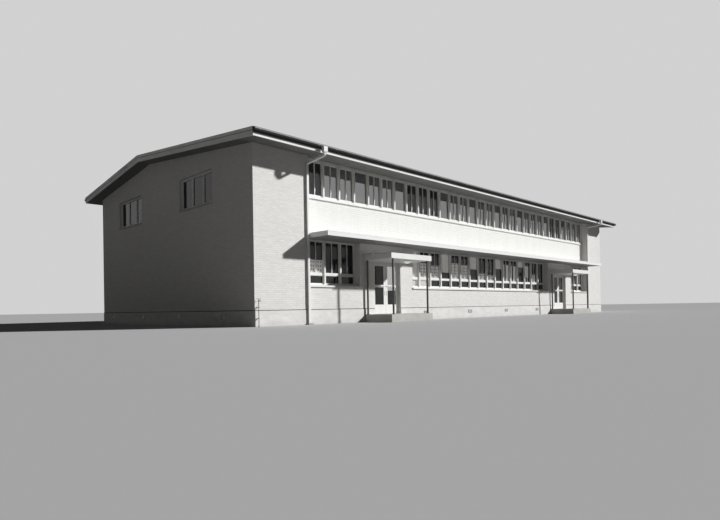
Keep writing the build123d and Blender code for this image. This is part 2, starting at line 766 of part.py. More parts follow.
def hinge_half(axis_x, toward, bottom):
    """One knuckle of a hinge with the plate that holds it, added to the part in hand."""
    with BuildSketch(Plane.XY.offset(bottom)) as section:
        with Locations((axis_x, HINGE_Y)):
            Circle(HINGE_RADIUS)
        with Locations((axis_x + toward * (DOOR_GAP / 2 + HINGE_PLATE_WIDTH) / 2, DOOR_Y)):
            Rectangle(
                DOOR_GAP / 2 + HINGE_PLATE_WIDTH,
                HINGE_PLATE,
                align=(Align.CENTER, Align.MAX),
            )
    extrude(section.sketch, amount=HINGE_HEIGHT / 2 - HINGE_PLAY / 2)


with BuildPart() as door_frames:
    for centre in DOOR_CENTRES:
        with BuildSketch(Plane.XZ.offset(-DOOR_Y)):
            with Locations((centre, FLOOR_LEVEL)):
                Rectangle(OPENING, CANOPY_LEVEL - FLOOR_LEVEL, align=(Align.CENTER, Align.MIN))
                Rectangle(
                    OPENING - 2 * DOOR_FRAME_WIDTH,
                    CANOPY_LEVEL - DOOR_FRAME_WIDTH - FLOOR_LEVEL,
                    align=(Align.CENTER, Align.MIN),
                    mode=Mode.SUBTRACT,
                )
        extrude(amount=-DOOR_FRAME_DEPTH)
        for side in (-1, 1):
            for level in HINGE_LEVELS:
                hinge_half(hinge_axis(centre, side), side, level - HINGE_HEIGHT / 2)
door_frames.part.label = "door_frames"

os.makedirs("parts", exist_ok=True)

leaf_numbers = iter(range(1, 5))
for centre in DOOR_CENTRES:
    for side in (-1, 1):
        number = next(leaf_numbers)
        hinge_x = centre + side * (OPENING / 2 - DOOR_FRAME_WIDTH - DOOR_GAP)
        leaf_x = hinge_x - side * LEAF_WIDTH / 2
        with BuildPart() as door_leaf:
            with BuildSketch(Plane.XZ.offset(-DOOR_Y)):
                with Locations((leaf_x, DOOR_BOTTOM)):
                    Rectangle(LEAF_WIDTH, DOOR_TOP - DOOR_BOTTOM, align=(Align.CENTER, Align.MIN))
                for low, high in LEAF_RAILS:
                    with Locations((leaf_x, low)):
                        Rectangle(
                            GLASS_WIDTH,
                            high - low,
                            align=(Align.CENTER, Align.MIN),
                            mode=Mode.SUBTRACT,
                        )
            extrude(amount=-DOOR_THICKNESS)
            for level in HINGE_LEVELS:
                hinge_half(hinge_axis(centre, side), -side, level + HINGE_PLAY / 2)
            bar_level = DOOR_MID_LEVEL + DOOR_MID_RAIL / 2
            bar_ends = (hinge_x - side * PUSH_BAR_INSET, hinge_x - side * (LEAF_WIDTH - DOOR_STILE / 2))
            with BuildSketch(Plane.YZ.offset(min(bar_ends))):
                with Locations((DOOR_Y - PUSH_BAR_REACH + PUSH_BAR_DIAMETER / 2, bar_level)):
                    Circle(PUSH_BAR_DIAMETER / 2)
            extrude(amount=abs(bar_ends[1] - bar_ends[0]))
            for bracket_x in bar_ends:
                inward = 1 if bracket_x == min(bar_ends) else -1
                with BuildSketch(Plane.XZ.offset(-DOOR_Y)):
                    with Locations((bracket_x + inward * PUSH_BAR_DIAMETER / 2, bar_level)):
                        Circle(PUSH_BAR_DIAMETER / 2)
                extrude(amount=PUSH_BAR_REACH - PUSH_BAR_DIAMETER / 2)
        door_leaf.part.label = f"door_leaf_{number}"
        export_step(door_leaf.part, f"parts/door_leaf_{number}.step")
        with BuildPart() as leaf_glass:
            with BuildSketch(Plane.XZ.offset(-DOOR_Y - (DOOR_THICKNESS - DOOR_PANE) / 2)):
                for low, high in LEAF_RAILS:
                    with Locations((leaf_x, low)):
                        Rectangle(GLASS_WIDTH, high - low, align=(Align.CENTER, Align.MIN))
            extrude(amount=-DOOR_PANE)
        leaf_glass.part.label = f"door_glass_{number}"
        export_step(leaf_glass.part, f"parts/door_glass_{number}.step")

export_step(plinth_front.part, "parts/plinth_front.step")
export_step(plinth_sides.part, "parts/plinth_sides.step")
export_step(plinth_rear.part, "parts/plinth_rear.step")
export_step(ground_floor.part, "parts/ground_floor.step")
export_step(upper_floor.part, "parts/upper_floor.step")
export_step(gable_walls_lower.part, "parts/gable_walls_lower.step")
export_step(gable_walls_upper.part, "parts/gable_walls_upper.step")
export_step(end_panels.part, "parts/end_panels.step")
export_step(base_walls.part, "parts/base_walls.step")
export_step(door_piers.part, "parts/door_piers.step")
export_step(door_lintels.part, "parts/door_lintels.step")
export_step(rear_wall_lower.part, "parts/rear_wall_lower.step")
export_step(rear_wall_upper.part, "parts/rear_wall_upper.step")
export_step(brick_wall_frames.part, "parts/brick_wall_frames.step")
export_step(brick_wall_glass.part, "parts/brick_wall_glass.step")
export_step(brick_wall_sills.part, "parts/brick_wall_sills.step")
export_step(lower_window_frames.part, "parts/lower_window_frames.step")
export_step(lower_window_glass.part, "parts/lower_window_glass.step")
export_step(upper_window_frame.part, "parts/upper_window_frame.step")
export_step(upper_window_glass.part, "parts/upper_window_glass.step")
export_step(lower_sills.part, "parts/lower_sills.step")
export_step(upper_sill.part, "parts/upper_sill.step")
export_step(spandrel.part, "parts/spandrel.step")
export_step(front_wall_plate.part, "parts/front_wall_plate.step")
export_step(awning.part, "parts/awning.step")
export_step(roof_slope_front.part, "parts/roof_slope_front.step")
export_step(roof_slope_rear.part, "parts/roof_slope_rear.step")
export_step(ridge_cap.part, "parts/ridge_cap.step")
export_step(barge_boards.part, "parts/barge_boards.step")
export_step(fascias.part, "parts/fascias.step")
export_step(gutters.part, "parts/gutters.step")
export_step(rainwater_heads.part, "parts/rainwater_heads.step")
export_step(downpipes.part, "parts/downpipes.step")
export_step(porch_canopies.part, "parts/porch_canopies.step")
export_step(porch_posts.part, "parts/porch_posts.step")
export_step(porch_slabs.part, "parts/porch_slabs.step")
export_step(door_frames.part, "parts/door_frames.step")
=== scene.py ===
"""Looks of a long two-storey brick school block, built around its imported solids.

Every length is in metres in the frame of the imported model: X runs along the
front, Y from the front to the rear, and Z up from the ground.
"""

import logging
import math
from dataclasses import astuple, dataclass
from enum import Enum
from typing import Any, Iterable, Sequence

import bmesh
import bpy
from mathutils import Matrix, Vector


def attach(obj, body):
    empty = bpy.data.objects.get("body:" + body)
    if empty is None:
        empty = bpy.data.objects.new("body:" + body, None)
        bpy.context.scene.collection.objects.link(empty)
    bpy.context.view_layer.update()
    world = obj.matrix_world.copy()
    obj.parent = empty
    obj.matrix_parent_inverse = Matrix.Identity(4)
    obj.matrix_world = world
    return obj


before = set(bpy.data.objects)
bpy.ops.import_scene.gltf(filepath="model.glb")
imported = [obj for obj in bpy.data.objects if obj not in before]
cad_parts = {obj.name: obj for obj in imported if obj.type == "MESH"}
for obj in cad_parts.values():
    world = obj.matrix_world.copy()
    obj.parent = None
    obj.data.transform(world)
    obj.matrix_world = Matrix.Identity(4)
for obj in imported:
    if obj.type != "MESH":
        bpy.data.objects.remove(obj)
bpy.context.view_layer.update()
log = logging.getLogger("school_block")

Point = tuple[float, float, float]
Colour = tuple[float, float, float]
Pair = tuple[float, float]
Place = tuple[Point, float]

ORIGIN = (0.0, 0.0, 0.0)
BAY = 0.9
FIRST_LINE = -13.5
WALL_FRONT = -7.5525
WALL_REAR = 7.9475
WALL_SIDE = 16.29
FRAME_FRONT = -7.2125
RIDGE_Y = 1.4975
RIDGE_UNDER = 7.8741
# Share of a face's normal past which the face counts as looking that way.
FACING = 0.5
# Shift along X from which laps, butts and printed rows are counted.
PATTERN_START = 18.0
# Angles in degrees below which edges are smoothed.
ROUND = 35.0
FOLDED = 60.0


class Body(Enum):
    """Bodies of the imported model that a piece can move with."""

    BUILDING = "building"
    LEAF_1 = "leaf_1"
    LEAF_2 = "leaf_2"
    LEAF_3 = "leaf_3"
    LEAF_4 = "leaf_4"


class Slot(Enum):
    """Material slots of the record that the added pieces use."""

    CONCRETE = "concrete"
    WHITE_PAINT = "white_paint"
    GLASS = "glass"
    ROOF_SHEET = "roof_sheet"
    GUTTER_PAINT = "gutter_paint"
    WHITE_METAL = "white_metal"
    STEEL_PAINT = "steel_paint"


class Wire:
    """A value inside a node tree that Python expressions can work on."""

    def __init__(self, graph: "Graph", socket: bpy.types.NodeSocket) -> None:
        """Holds one output socket of a tree."""
        self.graph = graph
        self.socket = socket

    def also(self, output: str) -> "Wire":
        """Gives another output of the same node."""
        return Wire(self.graph, self.socket.node.outputs[output])

    def _work(self, operation: str, first: Any, second: Any = 0.0) -> "Wire":
        """Adds one Math node on two values or wires."""
        return self.graph.node("ShaderNodeMath", {"operation": operation}, {0: first, 1: second})

    def __add__(self, other: Any) -> "Wire":
        """Adds a value or wire."""
        return self._work("ADD", self, other)

    __radd__ = __add__

    def __sub__(self, other: Any) -> "Wire":
        """Takes a value or wire away."""
        return self._work("SUBTRACT", self, other)

    def __rsub__(self, other: Any) -> "Wire":
        """Takes this wire away from a value."""
        return self._work("SUBTRACT", other, self)

    def __mul__(self, other: Any) -> "Wire":
        """Multiplies by a value or wire."""
        return self._work("MULTIPLY", self, other)

    __rmul__ = __mul__

    def __gt__(self, other: Any) -> "Wire":
        """Gives 1 where this wire is above a value or wire, else 0."""
        return self._work("GREATER_THAN", self, other)

    def __lt__(self, other: Any) -> "Wire":
        """Gives 1 where this wire is below a value or wire, else 0."""
        return self._work("LESS_THAN", self, other)

    def __mod__(self, other: float) -> "Wire":
        """Gives the remainder, which is never negative."""
        return self._work("FLOORED_MODULO", self, other)

    def __abs__(self) -> "Wire":
        """Gives the value without its sign."""
        return self._work("ABSOLUTE", self)

    def between(self, low: float, high: float) -> "Wire":
        """Spreads the values from low to high over 0 to 1, and stops there."""
        limits = {"Value": self, "From Min": low, "From Max": high}
        return self.graph.node("ShaderNodeMapRange", {"clamp": True}, limits)


class Graph:
    """A node tree while it is being put together."""

    def __init__(self, tree: bpy.types.NodeTree) -> None:
        """Starts from an empty tree."""
        self.tree = tree
        tree.nodes.clear()

    def node(
        self,
        kind: str,
        settings: dict[str, Any] | None = None,
        sockets: dict[Any, Any] | None = None,
        output: str | int = 0,
    ) -> Wire:
        """Adds one node.

        Args:
            kind: Name of the node's type.
            settings: Values of its own settings, set before its sockets.
            sockets: Values or wires for its inputs, by name or number.
            output: Name or number of the output that is wanted.

        Returns:
            That output as a wire, or the node's first input where it has no output.
        """
        made = self.tree.nodes.new(kind)
        for key, value in (settings or {}).items():
            setattr(made, key, value)
        for key, value in (sockets or {}).items():
            if isinstance(value, Wire):
                self.tree.links.new(value.socket, made.inputs[key])
            else:
                made.inputs[key].default_value = value
        return Wire(self, made.outputs[output] if len(made.outputs) else made.inputs[0])


class Recipe(Graph):
    """The shader of one finish while it is being mixed."""

    def __init__(self, name: str) -> None:
        """Starts a new material of that name.

        Args:
            name: Name of the material.
        """
        self.material = bpy.data.materials.new(name)
        self.material.use_nodes = True
        super().__init__(self.material.node_tree)
        self.place = self.node("ShaderNodeTexCoord", output="Object")

    def axes(self, output: str) -> tuple[Wire, Wire, Wire]:
        """Splits Object, the place, or Normal, the way a face looks, into X, Y and Z."""
        split = self.node("ShaderNodeSeparateXYZ", sockets={0: self.place.also(output)})
        return split, split.also("Y"), split.also("Z")

    def noise(self, scale: float, detail: float = 3.0, stretch: Point = (1, 1, 1)) -> Wire:
        """Adds cloudy noise.

        Args:
            scale: Cells in a metre.
            detail: Levels of finer noise on top.
            stretch: Factor along each axis, for streaks.

        Returns:
            The noise, from 0 to 1.
        """
        spot = self.node("ShaderNodeMapping", sockets={"Vector": self.place, "Scale": stretch})
        sockets = {"Vector": spot, "Scale": scale, "Detail": detail, "Roughness": 0.55}
        return self.node("ShaderNodeTexNoise", sockets=sockets)

    def blend(self, share: Any, first: Any, second: Any) -> Wire:
        """Mixes two colours.

        Args:
            share: Share of the second one.
            first: Colour or wire.
            second: Colour or wire.

        Returns:
            The mixed colour.
        """
        colours = [c if isinstance(c, Wire) else (*c, 1.0) for c in (first, second)]
        sockets = {0: share, 6: colours[0], 7: colours[1]}
        return self.node("ShaderNodeMix", {"data_type": "RGBA"}, sockets, output=2)

    def relief(self, height: Wire, depth: float, strength: float = 1.0) -> Wire:
        """Turns a height from 0 to 1, which stands for a depth in metres, into a bumped normal."""
        sockets = {"Height": height, "Distance": depth, "Strength": strength}
        return self.node("ShaderNodeBump", sockets=sockets)

    def finish(self, **sockets: Any) -> bpy.types.Material:
        """Ends the shader.

        Args:
            **sockets: Inputs of the surface shader, with _ for a space in the name.

        Returns:
            The finished material.
        """
        named = {}
        for key, value in sockets.items():
            is_colour = isinstance(value, tuple) and len(value) == 3
            named[key.replace("_", " ")] = (*value, 1.0) if is_colour else value
        surface = self.node("ShaderNodeBsdfPrincipled", sockets=named)
        self.node("ShaderNodeOutputMaterial", sockets={"Surface": surface})
        return self.material


def tint(colour: Colour, share: float) -> Colour:
    """Makes a colour lighter or darker by a share."""
    return tuple(min(1.0, c * share) for c in colour)


@dataclass(frozen=True)
class Finish:
    """What every finish of this building has."""

    name: str
    colour: Colour

    def material(self) -> bpy.types.Material:
        """Gives the material of this finish, mixed once."""
        return bpy.data.materials.get(self.name) or self.mix()

    def mix(self) -> bpy.types.Material:
        """Mixes the material."""
        raise NotImplementedError


@dataclass(frozen=True)
class FaceBrick(Finish):
    """Stretcher bond brickwork with flush grey joints."""

    mortar: Colour = (0.66, 0.65, 0.63)
    brick_length: float = 0.24
    course: float = 0.086
    joint: float = 0.010
    first_course: float = 0.6
    damp: Pair = (0.55, 1.15)

    def mix(self) -> bpy.types.Material:
        """Lays the bond along each wall, with bricks that differ a little.

        Returns:
            The mixed material.
        """
        recipe = Recipe(self.name)
        x, y, z = recipe.axes("Object")
        across, _, up = recipe.axes("Normal")
        along, level = x + WALL_SIDE, z - self.first_course
        run = along + (abs(across) > FACING) * ((y - WALL_FRONT) - along)
        rise = level + (abs(up) > FACING) * (y - level)
        bond = recipe.node(
            "ShaderNodeTexBrick",
            {"offset": 0.5, "offset_frequency": 2, "squash": 1.0},
            {
                "Vector": recipe.node("ShaderNodeCombineXYZ", sockets={0: run, 1: rise}),
                "Color1": (0.0, 0.0, 0.0, 1.0),
                "Color2": (1.0, 1.0, 1.0, 1.0),
                "Mortar": (0.5, 0.5, 0.5, 1.0),
                "Scale": 1.0,
                "Mortar Size": self.joint / 2,
                "Mortar Smooth": 0.2,
                "Bias": 0.0,
                "Brick Width": self.brick_length,
                "Row Height": self.course,
            },
        )
        joint = bond.also("Fac")
        grain = recipe.noise(60.0, 4.0)
        weather = recipe.noise(0.35, 5.0, (1.0, 1.0, 0.35)).between(0.3, 0.75)
        clay = recipe.blend(bond, tint(self.colour, 0.95), tint(self.colour, 1.05))
        clay = recipe.blend(grain.between(0.35, 0.7) * 0.2, clay, tint(self.colour, 0.86))
        wall = recipe.blend(joint, clay, self.mortar)
        wall = recipe.blend(weather * 0.1, wall, tint(self.colour, 0.7))
        damp = (1.0 - z.between(*self.damp)) * weather
        wall = recipe.blend(damp * 0.12, wall, tint(self.colour, 0.5))
        height = (1.0 - joint) * 0.75 + grain * 0.25
        return recipe.finish(
            Base_Color=wall, Roughness=grain * 0.14 + 0.8, Normal=recipe.relief(height, 0.004)
        )


@dataclass(frozen=True)
class TrowelledCement(Finish):
    """Cement render or concrete with trowel marks and splash stains."""

    stain: Colour = (0.3, 0.28, 0.25)
    stain_share: float = 0.2
    splash: Pair = (0.08, 0.35)

    def mix(self) -> bpy.types.Material:
        """Mixes soft clouds, fine sand and stains that rise from the ground.

        Returns:
            The mixed material.
        """
        recipe = Recipe(self.name)
        _, _, z = recipe.axes("Object")
        sand = recipe.noise(140.0, 2.0)
        trowel = recipe.noise(2.2, 5.0, (1.0, 1.0, 2.4))
        edge = recipe.noise(3.5, 4.0, (1.0, 1.0, 0.5))
        cement = recipe.blend(trowel.between(0.3, 0.7), tint(self.colour, 0.88), tint(self.colour, 1.07))
        cement = recipe.blend(sand.between(0.4, 0.75) * 0.2, cement, tint(self.colour, 0.72))
        splash = (1.0 - (z + edge * 0.25).between(*self.splash)) * self.stain_share
        return recipe.finish(
            Base_Color=recipe.blend(splash, cement, self.stain),
            Roughness=trowel * 0.12 + 0.78,
            Normal=recipe.relief(trowel * 0.7 + sand * 0.3, 0.003, 0.7),
        )


@dataclass(frozen=True)
class BrushedPaint(Finish):
    """Satin paint on timber, with brush marks, dust and a little grain."""

    dust: Colour = (0.45, 0.43, 0.4)
    gloss: float = 0.55
    dust_share: float = 0.14
    index: float = 1.36

    def mix(self) -> bpy.types.Material:
        """Mixes thin brush marks with dust that gathers in patches.

        Returns:
            The mixed material.
        """
        recipe = Recipe(self.name)
        brush = recipe.noise(34.0, 3.0, (0.25, 1.0, 1.0))
        patch = recipe.noise(0.8, 5.0, (1.0, 1.0, 0.6)).between(0.42, 0.78)
        speck = recipe.noise(220.0, 1.0).between(0.62, 0.75)
        paint = recipe.blend(brush.between(0.35, 0.7), tint(self.colour, 0.965), tint(self.colour, 1.02))
        paint = recipe.blend(patch * self.dust_share, paint, self.dust)
        paint = recipe.blend(speck * 0.06, paint, self.dust)
        return recipe.finish(
            Base_Color=paint,
            Roughness=patch * 0.2 + brush * 0.08 + self.gloss,
            IOR=self.index,
            Normal=recipe.relief(brush, 0.0012, 0.6),
        )


@dataclass(frozen=True)
class BargePaint(Finish):
    """Satin paint on barge boards, with a groove between the board and its capping, painted near black as
    shade.
    """

    front_fall: float = 0.1051
    rear_fall: float = 0.1228
    groove: Pair = (0.178, 0.2)

    def mix(self) -> bpy.types.Material:
        """Follows both slopes with the groove and clouds the paint a little.

        Returns:
            The mixed material.
        """
        recipe = Recipe(self.name)
        _, y, z = recipe.axes("Object")
        off = y - RIDGE_Y
        fall = abs(off) * ((off > 0.0) * (self.rear_fall - self.front_fall) + self.front_fall)
        level = z + fall - RIDGE_UNDER
        groove = (level > self.groove[0]) * (level < self.groove[1])
        cloud = recipe.noise(1.2, 5.0).between(0.4, 0.8)
        paint = recipe.blend(cloud * 0.2, self.colour, tint(self.colour, 0.6))
        return recipe.finish(
            # Painted shade: the groove is near black, standing for the shade in the gap under the capping.
            Base_Color=recipe.blend(groove, paint, tint(self.colour, 0.06)),
            Roughness=cloud * 0.2 + 0.55,
            IOR=1.36,
            Normal=recipe.relief(1.0 - groove, 0.006),
        )


@dataclass(frozen=True)
class PaintedBoards(Finish):
    """Lapped boards under satin paint, with butt joints and rain streaks."""

    board: float = 0.095
    first_board: float = 3.772
    groove: float = 0.006
    length: float = 3.6
    butt: float = 0.004

    def mix(self) -> bpy.types.Material:
        """Draws each board's lap, the joints between lengths and faint streaks.

        Returns:
            The mixed material.
        """
        recipe = Recipe(self.name)
        x, _, z = recipe.axes("Object")
        level = (z - self.first_board) % self.board
        lap = 1.0 - level.between(0.0, self.groove)
        butt = (((x + PATTERN_START) % self.length) < self.butt) * 0.4
        streak = recipe.noise(5.0, 4.0, (1.0, 1.0, 0.06)).between(0.45, 0.8)
        brush = recipe.noise(40.0, 3.0, (0.15, 1.0, 1.0))
        paint = recipe.blend(brush.between(0.3, 0.7), tint(self.colour, 0.96), tint(self.colour, 1.02))
        paint = recipe.blend(streak * 0.1, paint, tint(self.colour, 0.55))
        paint = recipe.blend(lap * 0.12 + butt, paint, tint(self.colour, 0.5))
        slope = 1.0 - level.between(0.0, self.board)
        return recipe.finish(
            Base_Color=paint,
            Roughness=streak * 0.2 + 0.65,
            IOR=1.3,
            Normal=recipe.relief(slope * 0.9 + brush * 0.1, 0.004),
        )


@dataclass(frozen=True)
class CoatedSheet(Finish):
    """Pressed metal sheet or lining board under paint, dulled by weather."""

    streaks: Point = (1.0, 1.0, 1.0)
    # Colour of grime, and of the painted shade on undersides.
    grime_and_shade: Colour = (0.16, 0.155, 0.15)
    grime_share: float = 0.3
    gloss: float = 0.5
    shine: float = 0.0
    index: float = 1.4
    # Share of painted shade on faces that look down.
    painted_shade_under_share: float = 0.0

    def mix(self) -> bpy.types.Material:
        """Mixes even paint with dull patches, run-off streaks and, on some, painted shade on the underside.

        Returns:
            The mixed material.
        """
        recipe = Recipe(self.name)
        _, _, up = recipe.axes("Normal")
        dull = recipe.noise(1.4, 5.0, self.streaks).between(0.35, 0.8)
        fine = recipe.noise(90.0, 2.0)
        coat = recipe.blend(fine.between(0.3, 0.7), tint(self.colour, 0.95), tint(self.colour, 1.04))
        coat = recipe.blend(dull * self.grime_share, coat, self.grime_and_shade)
        # Painted shade: faces that look down are darkened towards the grime colour.
        coat = recipe.blend((up < -FACING) * self.painted_shade_under_share, coat, self.grime_and_shade)
        return recipe.finish(
            Base_Color=coat,
            Roughness=dull * 0.25 + self.gloss,
            Metallic=self.shine,
            IOR=self.index,
            Normal=recipe.relief(fine * 0.4 + dull * 0.6, 0.0015, 0.5),
        )


@dataclass(frozen=True)
class RoofDeck(Finish):
    """Ribbed roof sheet above and a dark grey lining below, on one solid; the lining's grey is partly its own
    tone and partly painted shade under the eaves.
    """

    # Lining colour, darkened past its own tone as painted shade under the eaves.
    lining: Colour = (0.215, 0.212, 0.205)
    lap: float = 0.76
    lap_width: float = 0.006

    def mix(self) -> bpy.types.Material:
        """Tells sheet from lining by the way a face looks, and dulls both.

        Returns:
            The mixed material.
        """
        recipe = Recipe(self.name)
        x, _, _ = recipe.axes("Object")
        _, _, up = recipe.axes("Normal")
        lining = up < -FACING
        run_off = recipe.noise(2.0, 5.0, (1.0, 0.06, 1.0)).between(0.35, 0.75)
        cloud = recipe.noise(0.5, 4.0).between(0.35, 0.75)
        fine = recipe.noise(80.0, 2.0)
        side_lap = ((x + PATTERN_START) % self.lap) < self.lap_width
        sheet = recipe.blend(run_off * 0.4, self.colour, tint(self.colour, 0.7))
        sheet = recipe.blend(side_lap * 0.7, sheet, tint(self.colour, 0.3))
        board = recipe.blend(cloud * 0.35, self.lining, tint(self.lining, 0.75))
        return recipe.finish(
            Base_Color=recipe.blend(lining, sheet, board),
            Roughness=run_off * 0.2 + lining * 0.1 + 0.6,
            IOR=1.35,
            Normal=recipe.relief(fine, 0.001, 0.5),
        )


@dataclass(frozen=True)
class WindowGlass(Finish):
    """Plain window glass that mirrors the sky, with dust in its corners.

    An open zone lets the room show: it goes from one bay line to another and from a
    foot to a head. Above mirror_above the pane is a bright mirror.
    """

    cover: float = 0.94
    open_cover: float = 0.1
    index: float = 3.8
    open_zones: tuple[tuple[int, int, float, float], ...] = ()
    mirror_above: float | None = None
    mirror: Colour = (0.66, 0.66, 0.65)

    def mix(self) -> bpy.types.Material:
        """Mixes a dark mirror that lets some of the room show.

        Returns:
            The mixed material.
        """
        recipe = Recipe(self.name)
        x, _, z = recipe.axes("Object")
        dust = recipe.noise(1.6, 5.0).between(0.45, 0.85)
        wave = recipe.noise(1.1, 1.0)
        cover = dust * 0.05 + self.cover
        for first, last, foot, head in self.open_zones:
            after, before = FIRST_LINE + first * BAY, FIRST_LINE + last * BAY
            within = (x > after) * (x < before) * (z > foot) * (z < head)
            cover = cover - within * (self.cover - self.open_cover)
        pane, more = recipe.blend(dust, self.colour, tint(self.colour, 2.0)), {}
        if self.mirror_above is not None:
            bright = z > self.mirror_above
            pane, cover = recipe.blend(bright, pane, self.mirror), cover + bright
            more = {"Metallic": bright}
        return recipe.finish(
            Base_Color=pane,
            Roughness=dust * 0.07 + 0.02,
            IOR=self.index,
            Alpha=cover,
            Normal=recipe.relief(wave, 0.003, 0.5),
            **more,
        )


@dataclass(frozen=True)
class BlindCloth(Finish):
    """Blind or curtain cloth with a plain weave, painted shade in faint creases, a painted glow and, on some,
    dark diamonds.
    """

    spots: Pair | None = None
    spot_size: float = 0.33
    ink: Colour = (0.12, 0.115, 0.11)
    # Strength of a painted glow: the cloth gives off light though it is no lamp.
    painted_glow: float = 0.26

    def mix(self) -> bpy.types.Material:
        """Mixes threads both ways with painted shade in soft upright creases.

        Returns:
            The mixed material.
        """
        recipe = Recipe(self.name)
        warp = recipe.noise(900.0, 1.0, (1.0, 1.0, 0.06))
        weft = recipe.noise(900.0, 1.0, (0.06, 1.0, 1.0))
        # Painted shade: the cloth is darker along soft upright creases.
        crease_shade = recipe.noise(3.0, 3.0, (1.0, 1.0, 0.1))
        cloth = recipe.blend(crease_shade.between(0.3, 0.75), tint(self.colour, 0.85), self.colour)
        cloth = recipe.blend((warp + weft).between(0.8, 1.2) * 0.2, cloth, tint(self.colour, 0.7))
        if self.spots:
            x, _, z = recipe.axes("Object")
            wide, high = self.spots
            off_x = abs(((x + PATTERN_START) % wide) * (1.0 / wide) - 0.5)
            off_z = abs((z % high) * (1.0 / high) - 0.5)
            cloth = recipe.blend((off_x + off_z) < self.spot_size, cloth, self.ink)
        return recipe.finish(
            Base_Color=cloth,
            Roughness=warp * 0.1 + 0.85,
            # Painted light: the cloth glows in its own colour, as if lit from the rooms behind.
            Emission_Color=cloth,
            Emission_Strength=self.painted_glow,
            Normal=recipe.relief(warp * 0.5 + weft * 0.5, 0.0006),
        )


@dataclass(frozen=True)
class OpalGlass(Finish):
    """Milk glass of a porch lamp."""

    def mix(self) -> bpy.types.Material:
        """Mixes a pale gloss with a few specks of dust.

        Returns:
            The mixed material.
        """
        recipe = Recipe(self.name)
        dust = recipe.noise(25.0, 4.0).between(0.5, 0.8)
        return recipe.finish(
            Base_Color=recipe.blend(dust * 0.3, self.colour, tint(self.colour, 0.6)),
            Roughness=dust * 0.3 + 0.12,
            Coat_Weight=0.4,
            Emission_Color=(1.0, 1.0, 0.97),
            Emission_Strength=0.4,
        )


WHITE = (0.82, 0.82, 0.80)
OFF_WHITE = (0.80, 0.80, 0.78)
SHEET_GREY = (0.42, 0.43, 0.43)
PANE = (0.02, 0.022, 0.022)
PRINTED_CLOTH = (0.8, 0.79, 0.76)
ALONG = (1.0, 0.4, 1.0)

BRICK = FaceBrick("cream_face_brick", (0.78, 0.768, 0.745))
RENDER = TrowelledCement("trowelled_plinth_render", (0.75, 0.74, 0.72))
CONCRETE = TrowelledCement("float_finished_concrete", (0.50, 0.49, 0.46))
WHITE_TIMBER = BrushedPaint("white_timber_paint", WHITE)
BARGE_PAINT = BargePaint("white_barge_paint", (0.90, 0.90, 0.88))
WHITE_DOOR = BrushedPaint("white_door_paint", OFF_WHITE, gloss=0.4, dust_share=0.2)
WHITE_BOARDS = PaintedBoards("white_spandrel_boards", OFF_WHITE)
WHITE_SHEET = CoatedSheet("white_canopy_sheet", WHITE, streaks=ALONG, grime_share=0.12)
# The awning's underside is mostly painted shade.
AWNING_SHEET = CoatedSheet(
    "white_awning_sheet", (0.83, 0.83, 0.81), streaks=ALONG, grime_share=0.03, painted_shade_under_share=0.82
)
# Lining strips, grey to match the lining: partly their own tone, partly painted shade under the eaves.
LINING_TRIM = BrushedPaint("grey_lining_paint", (0.26, 0.255, 0.25))
EAVE_TRIM = CoatedSheet("grey_eave_trim", (0.25, 0.25, 0.25), gloss=0.6)
ROOF_SHEET = RoofDeck("grey_ribbed_roof_sheet", SHEET_GREY)
ROOF_FLASHING = CoatedSheet("grey_roof_flashing", SHEET_GREY, grime_and_shade=(0.3, 0.3, 0.29), gloss=0.62, index=1.35)
GUTTER = CoatedSheet(
    "black_gutter_paint", (0.03, 0.03, 0.03), grime_and_shade=(0.07, 0.068, 0.065), gloss=0.75, index=1.2
)
PIPE = CoatedSheet("white_pipe_paint", WHITE, streaks=(1.0, 1.0, 0.3), grime_share=0.12)
POST = CoatedSheet(
    "dark_post_paint", (0.12, 0.12, 0.12), grime_and_shade=(0.3, 0.29, 0.27), grime_share=0.2, index=1.3
)
STEEL = CoatedSheet("bright_steel", (0.62, 0.62, 0.60), grime_share=0.2, gloss=0.25, shine=0.9)
VENT_METAL = CoatedSheet("dull_vent_metal", (0.22, 0.215, 0.21), grime_share=0.4, shine=0.4)
BAND_GLASS = WindowGlass(
    "upper_band_glass",
    PANE,
    open_cover=0.14,
    open_zones=((0, 1, 5.0, 7.0), (7, 10, 5.0, 7.0), (24, 26, 5.0, 7.0)),
)
DOOR_GLASS = WindowGlass("door_glass", PANE, cover=0.7, index=1.5)
BRIGHT_GLASS = WindowGlass("bright_door_glass", PANE, cover=0.7, index=1.5, mirror_above=1.45)
ROOM_GLASS = WindowGlass(
    "room_window_glass",
    PANE,
    cover=0.78,
    index=1.5,
    open_zones=(
        (0, 1, 2.1, 2.72), (7, 8, 1.7, 3.5), (8, 9, 1.7, 2.92), (9, 10, 2.1, 2.84),
        (10, 11, 2.48, 3.5), (11, 13, 2.1, 3.05), (13, 14, 2.76, 3.5), (14, 16, 2.1, 2.6),
        (16, 17, 2.89, 3.5), (17, 19, 2.1, 3.22), (19, 20, 3.1, 3.5), (20, 22, 2.1, 3.24),
        (27, 29, 2.1, 3.5),
    ),
)
BLIND = BlindCloth("cream_blind_cloth", (0.74, 0.73, 0.69))
CURTAIN = BlindCloth("plain_curtain_cloth", PRINTED_CLOTH)
SPOTTED = BlindCloth("spotted_curtain_cloth", PRINTED_CLOTH, spots=(0.13, 0.17))
OPAL = OpalGlass("opal_lamp_glass", (0.86, 0.86, 0.84))

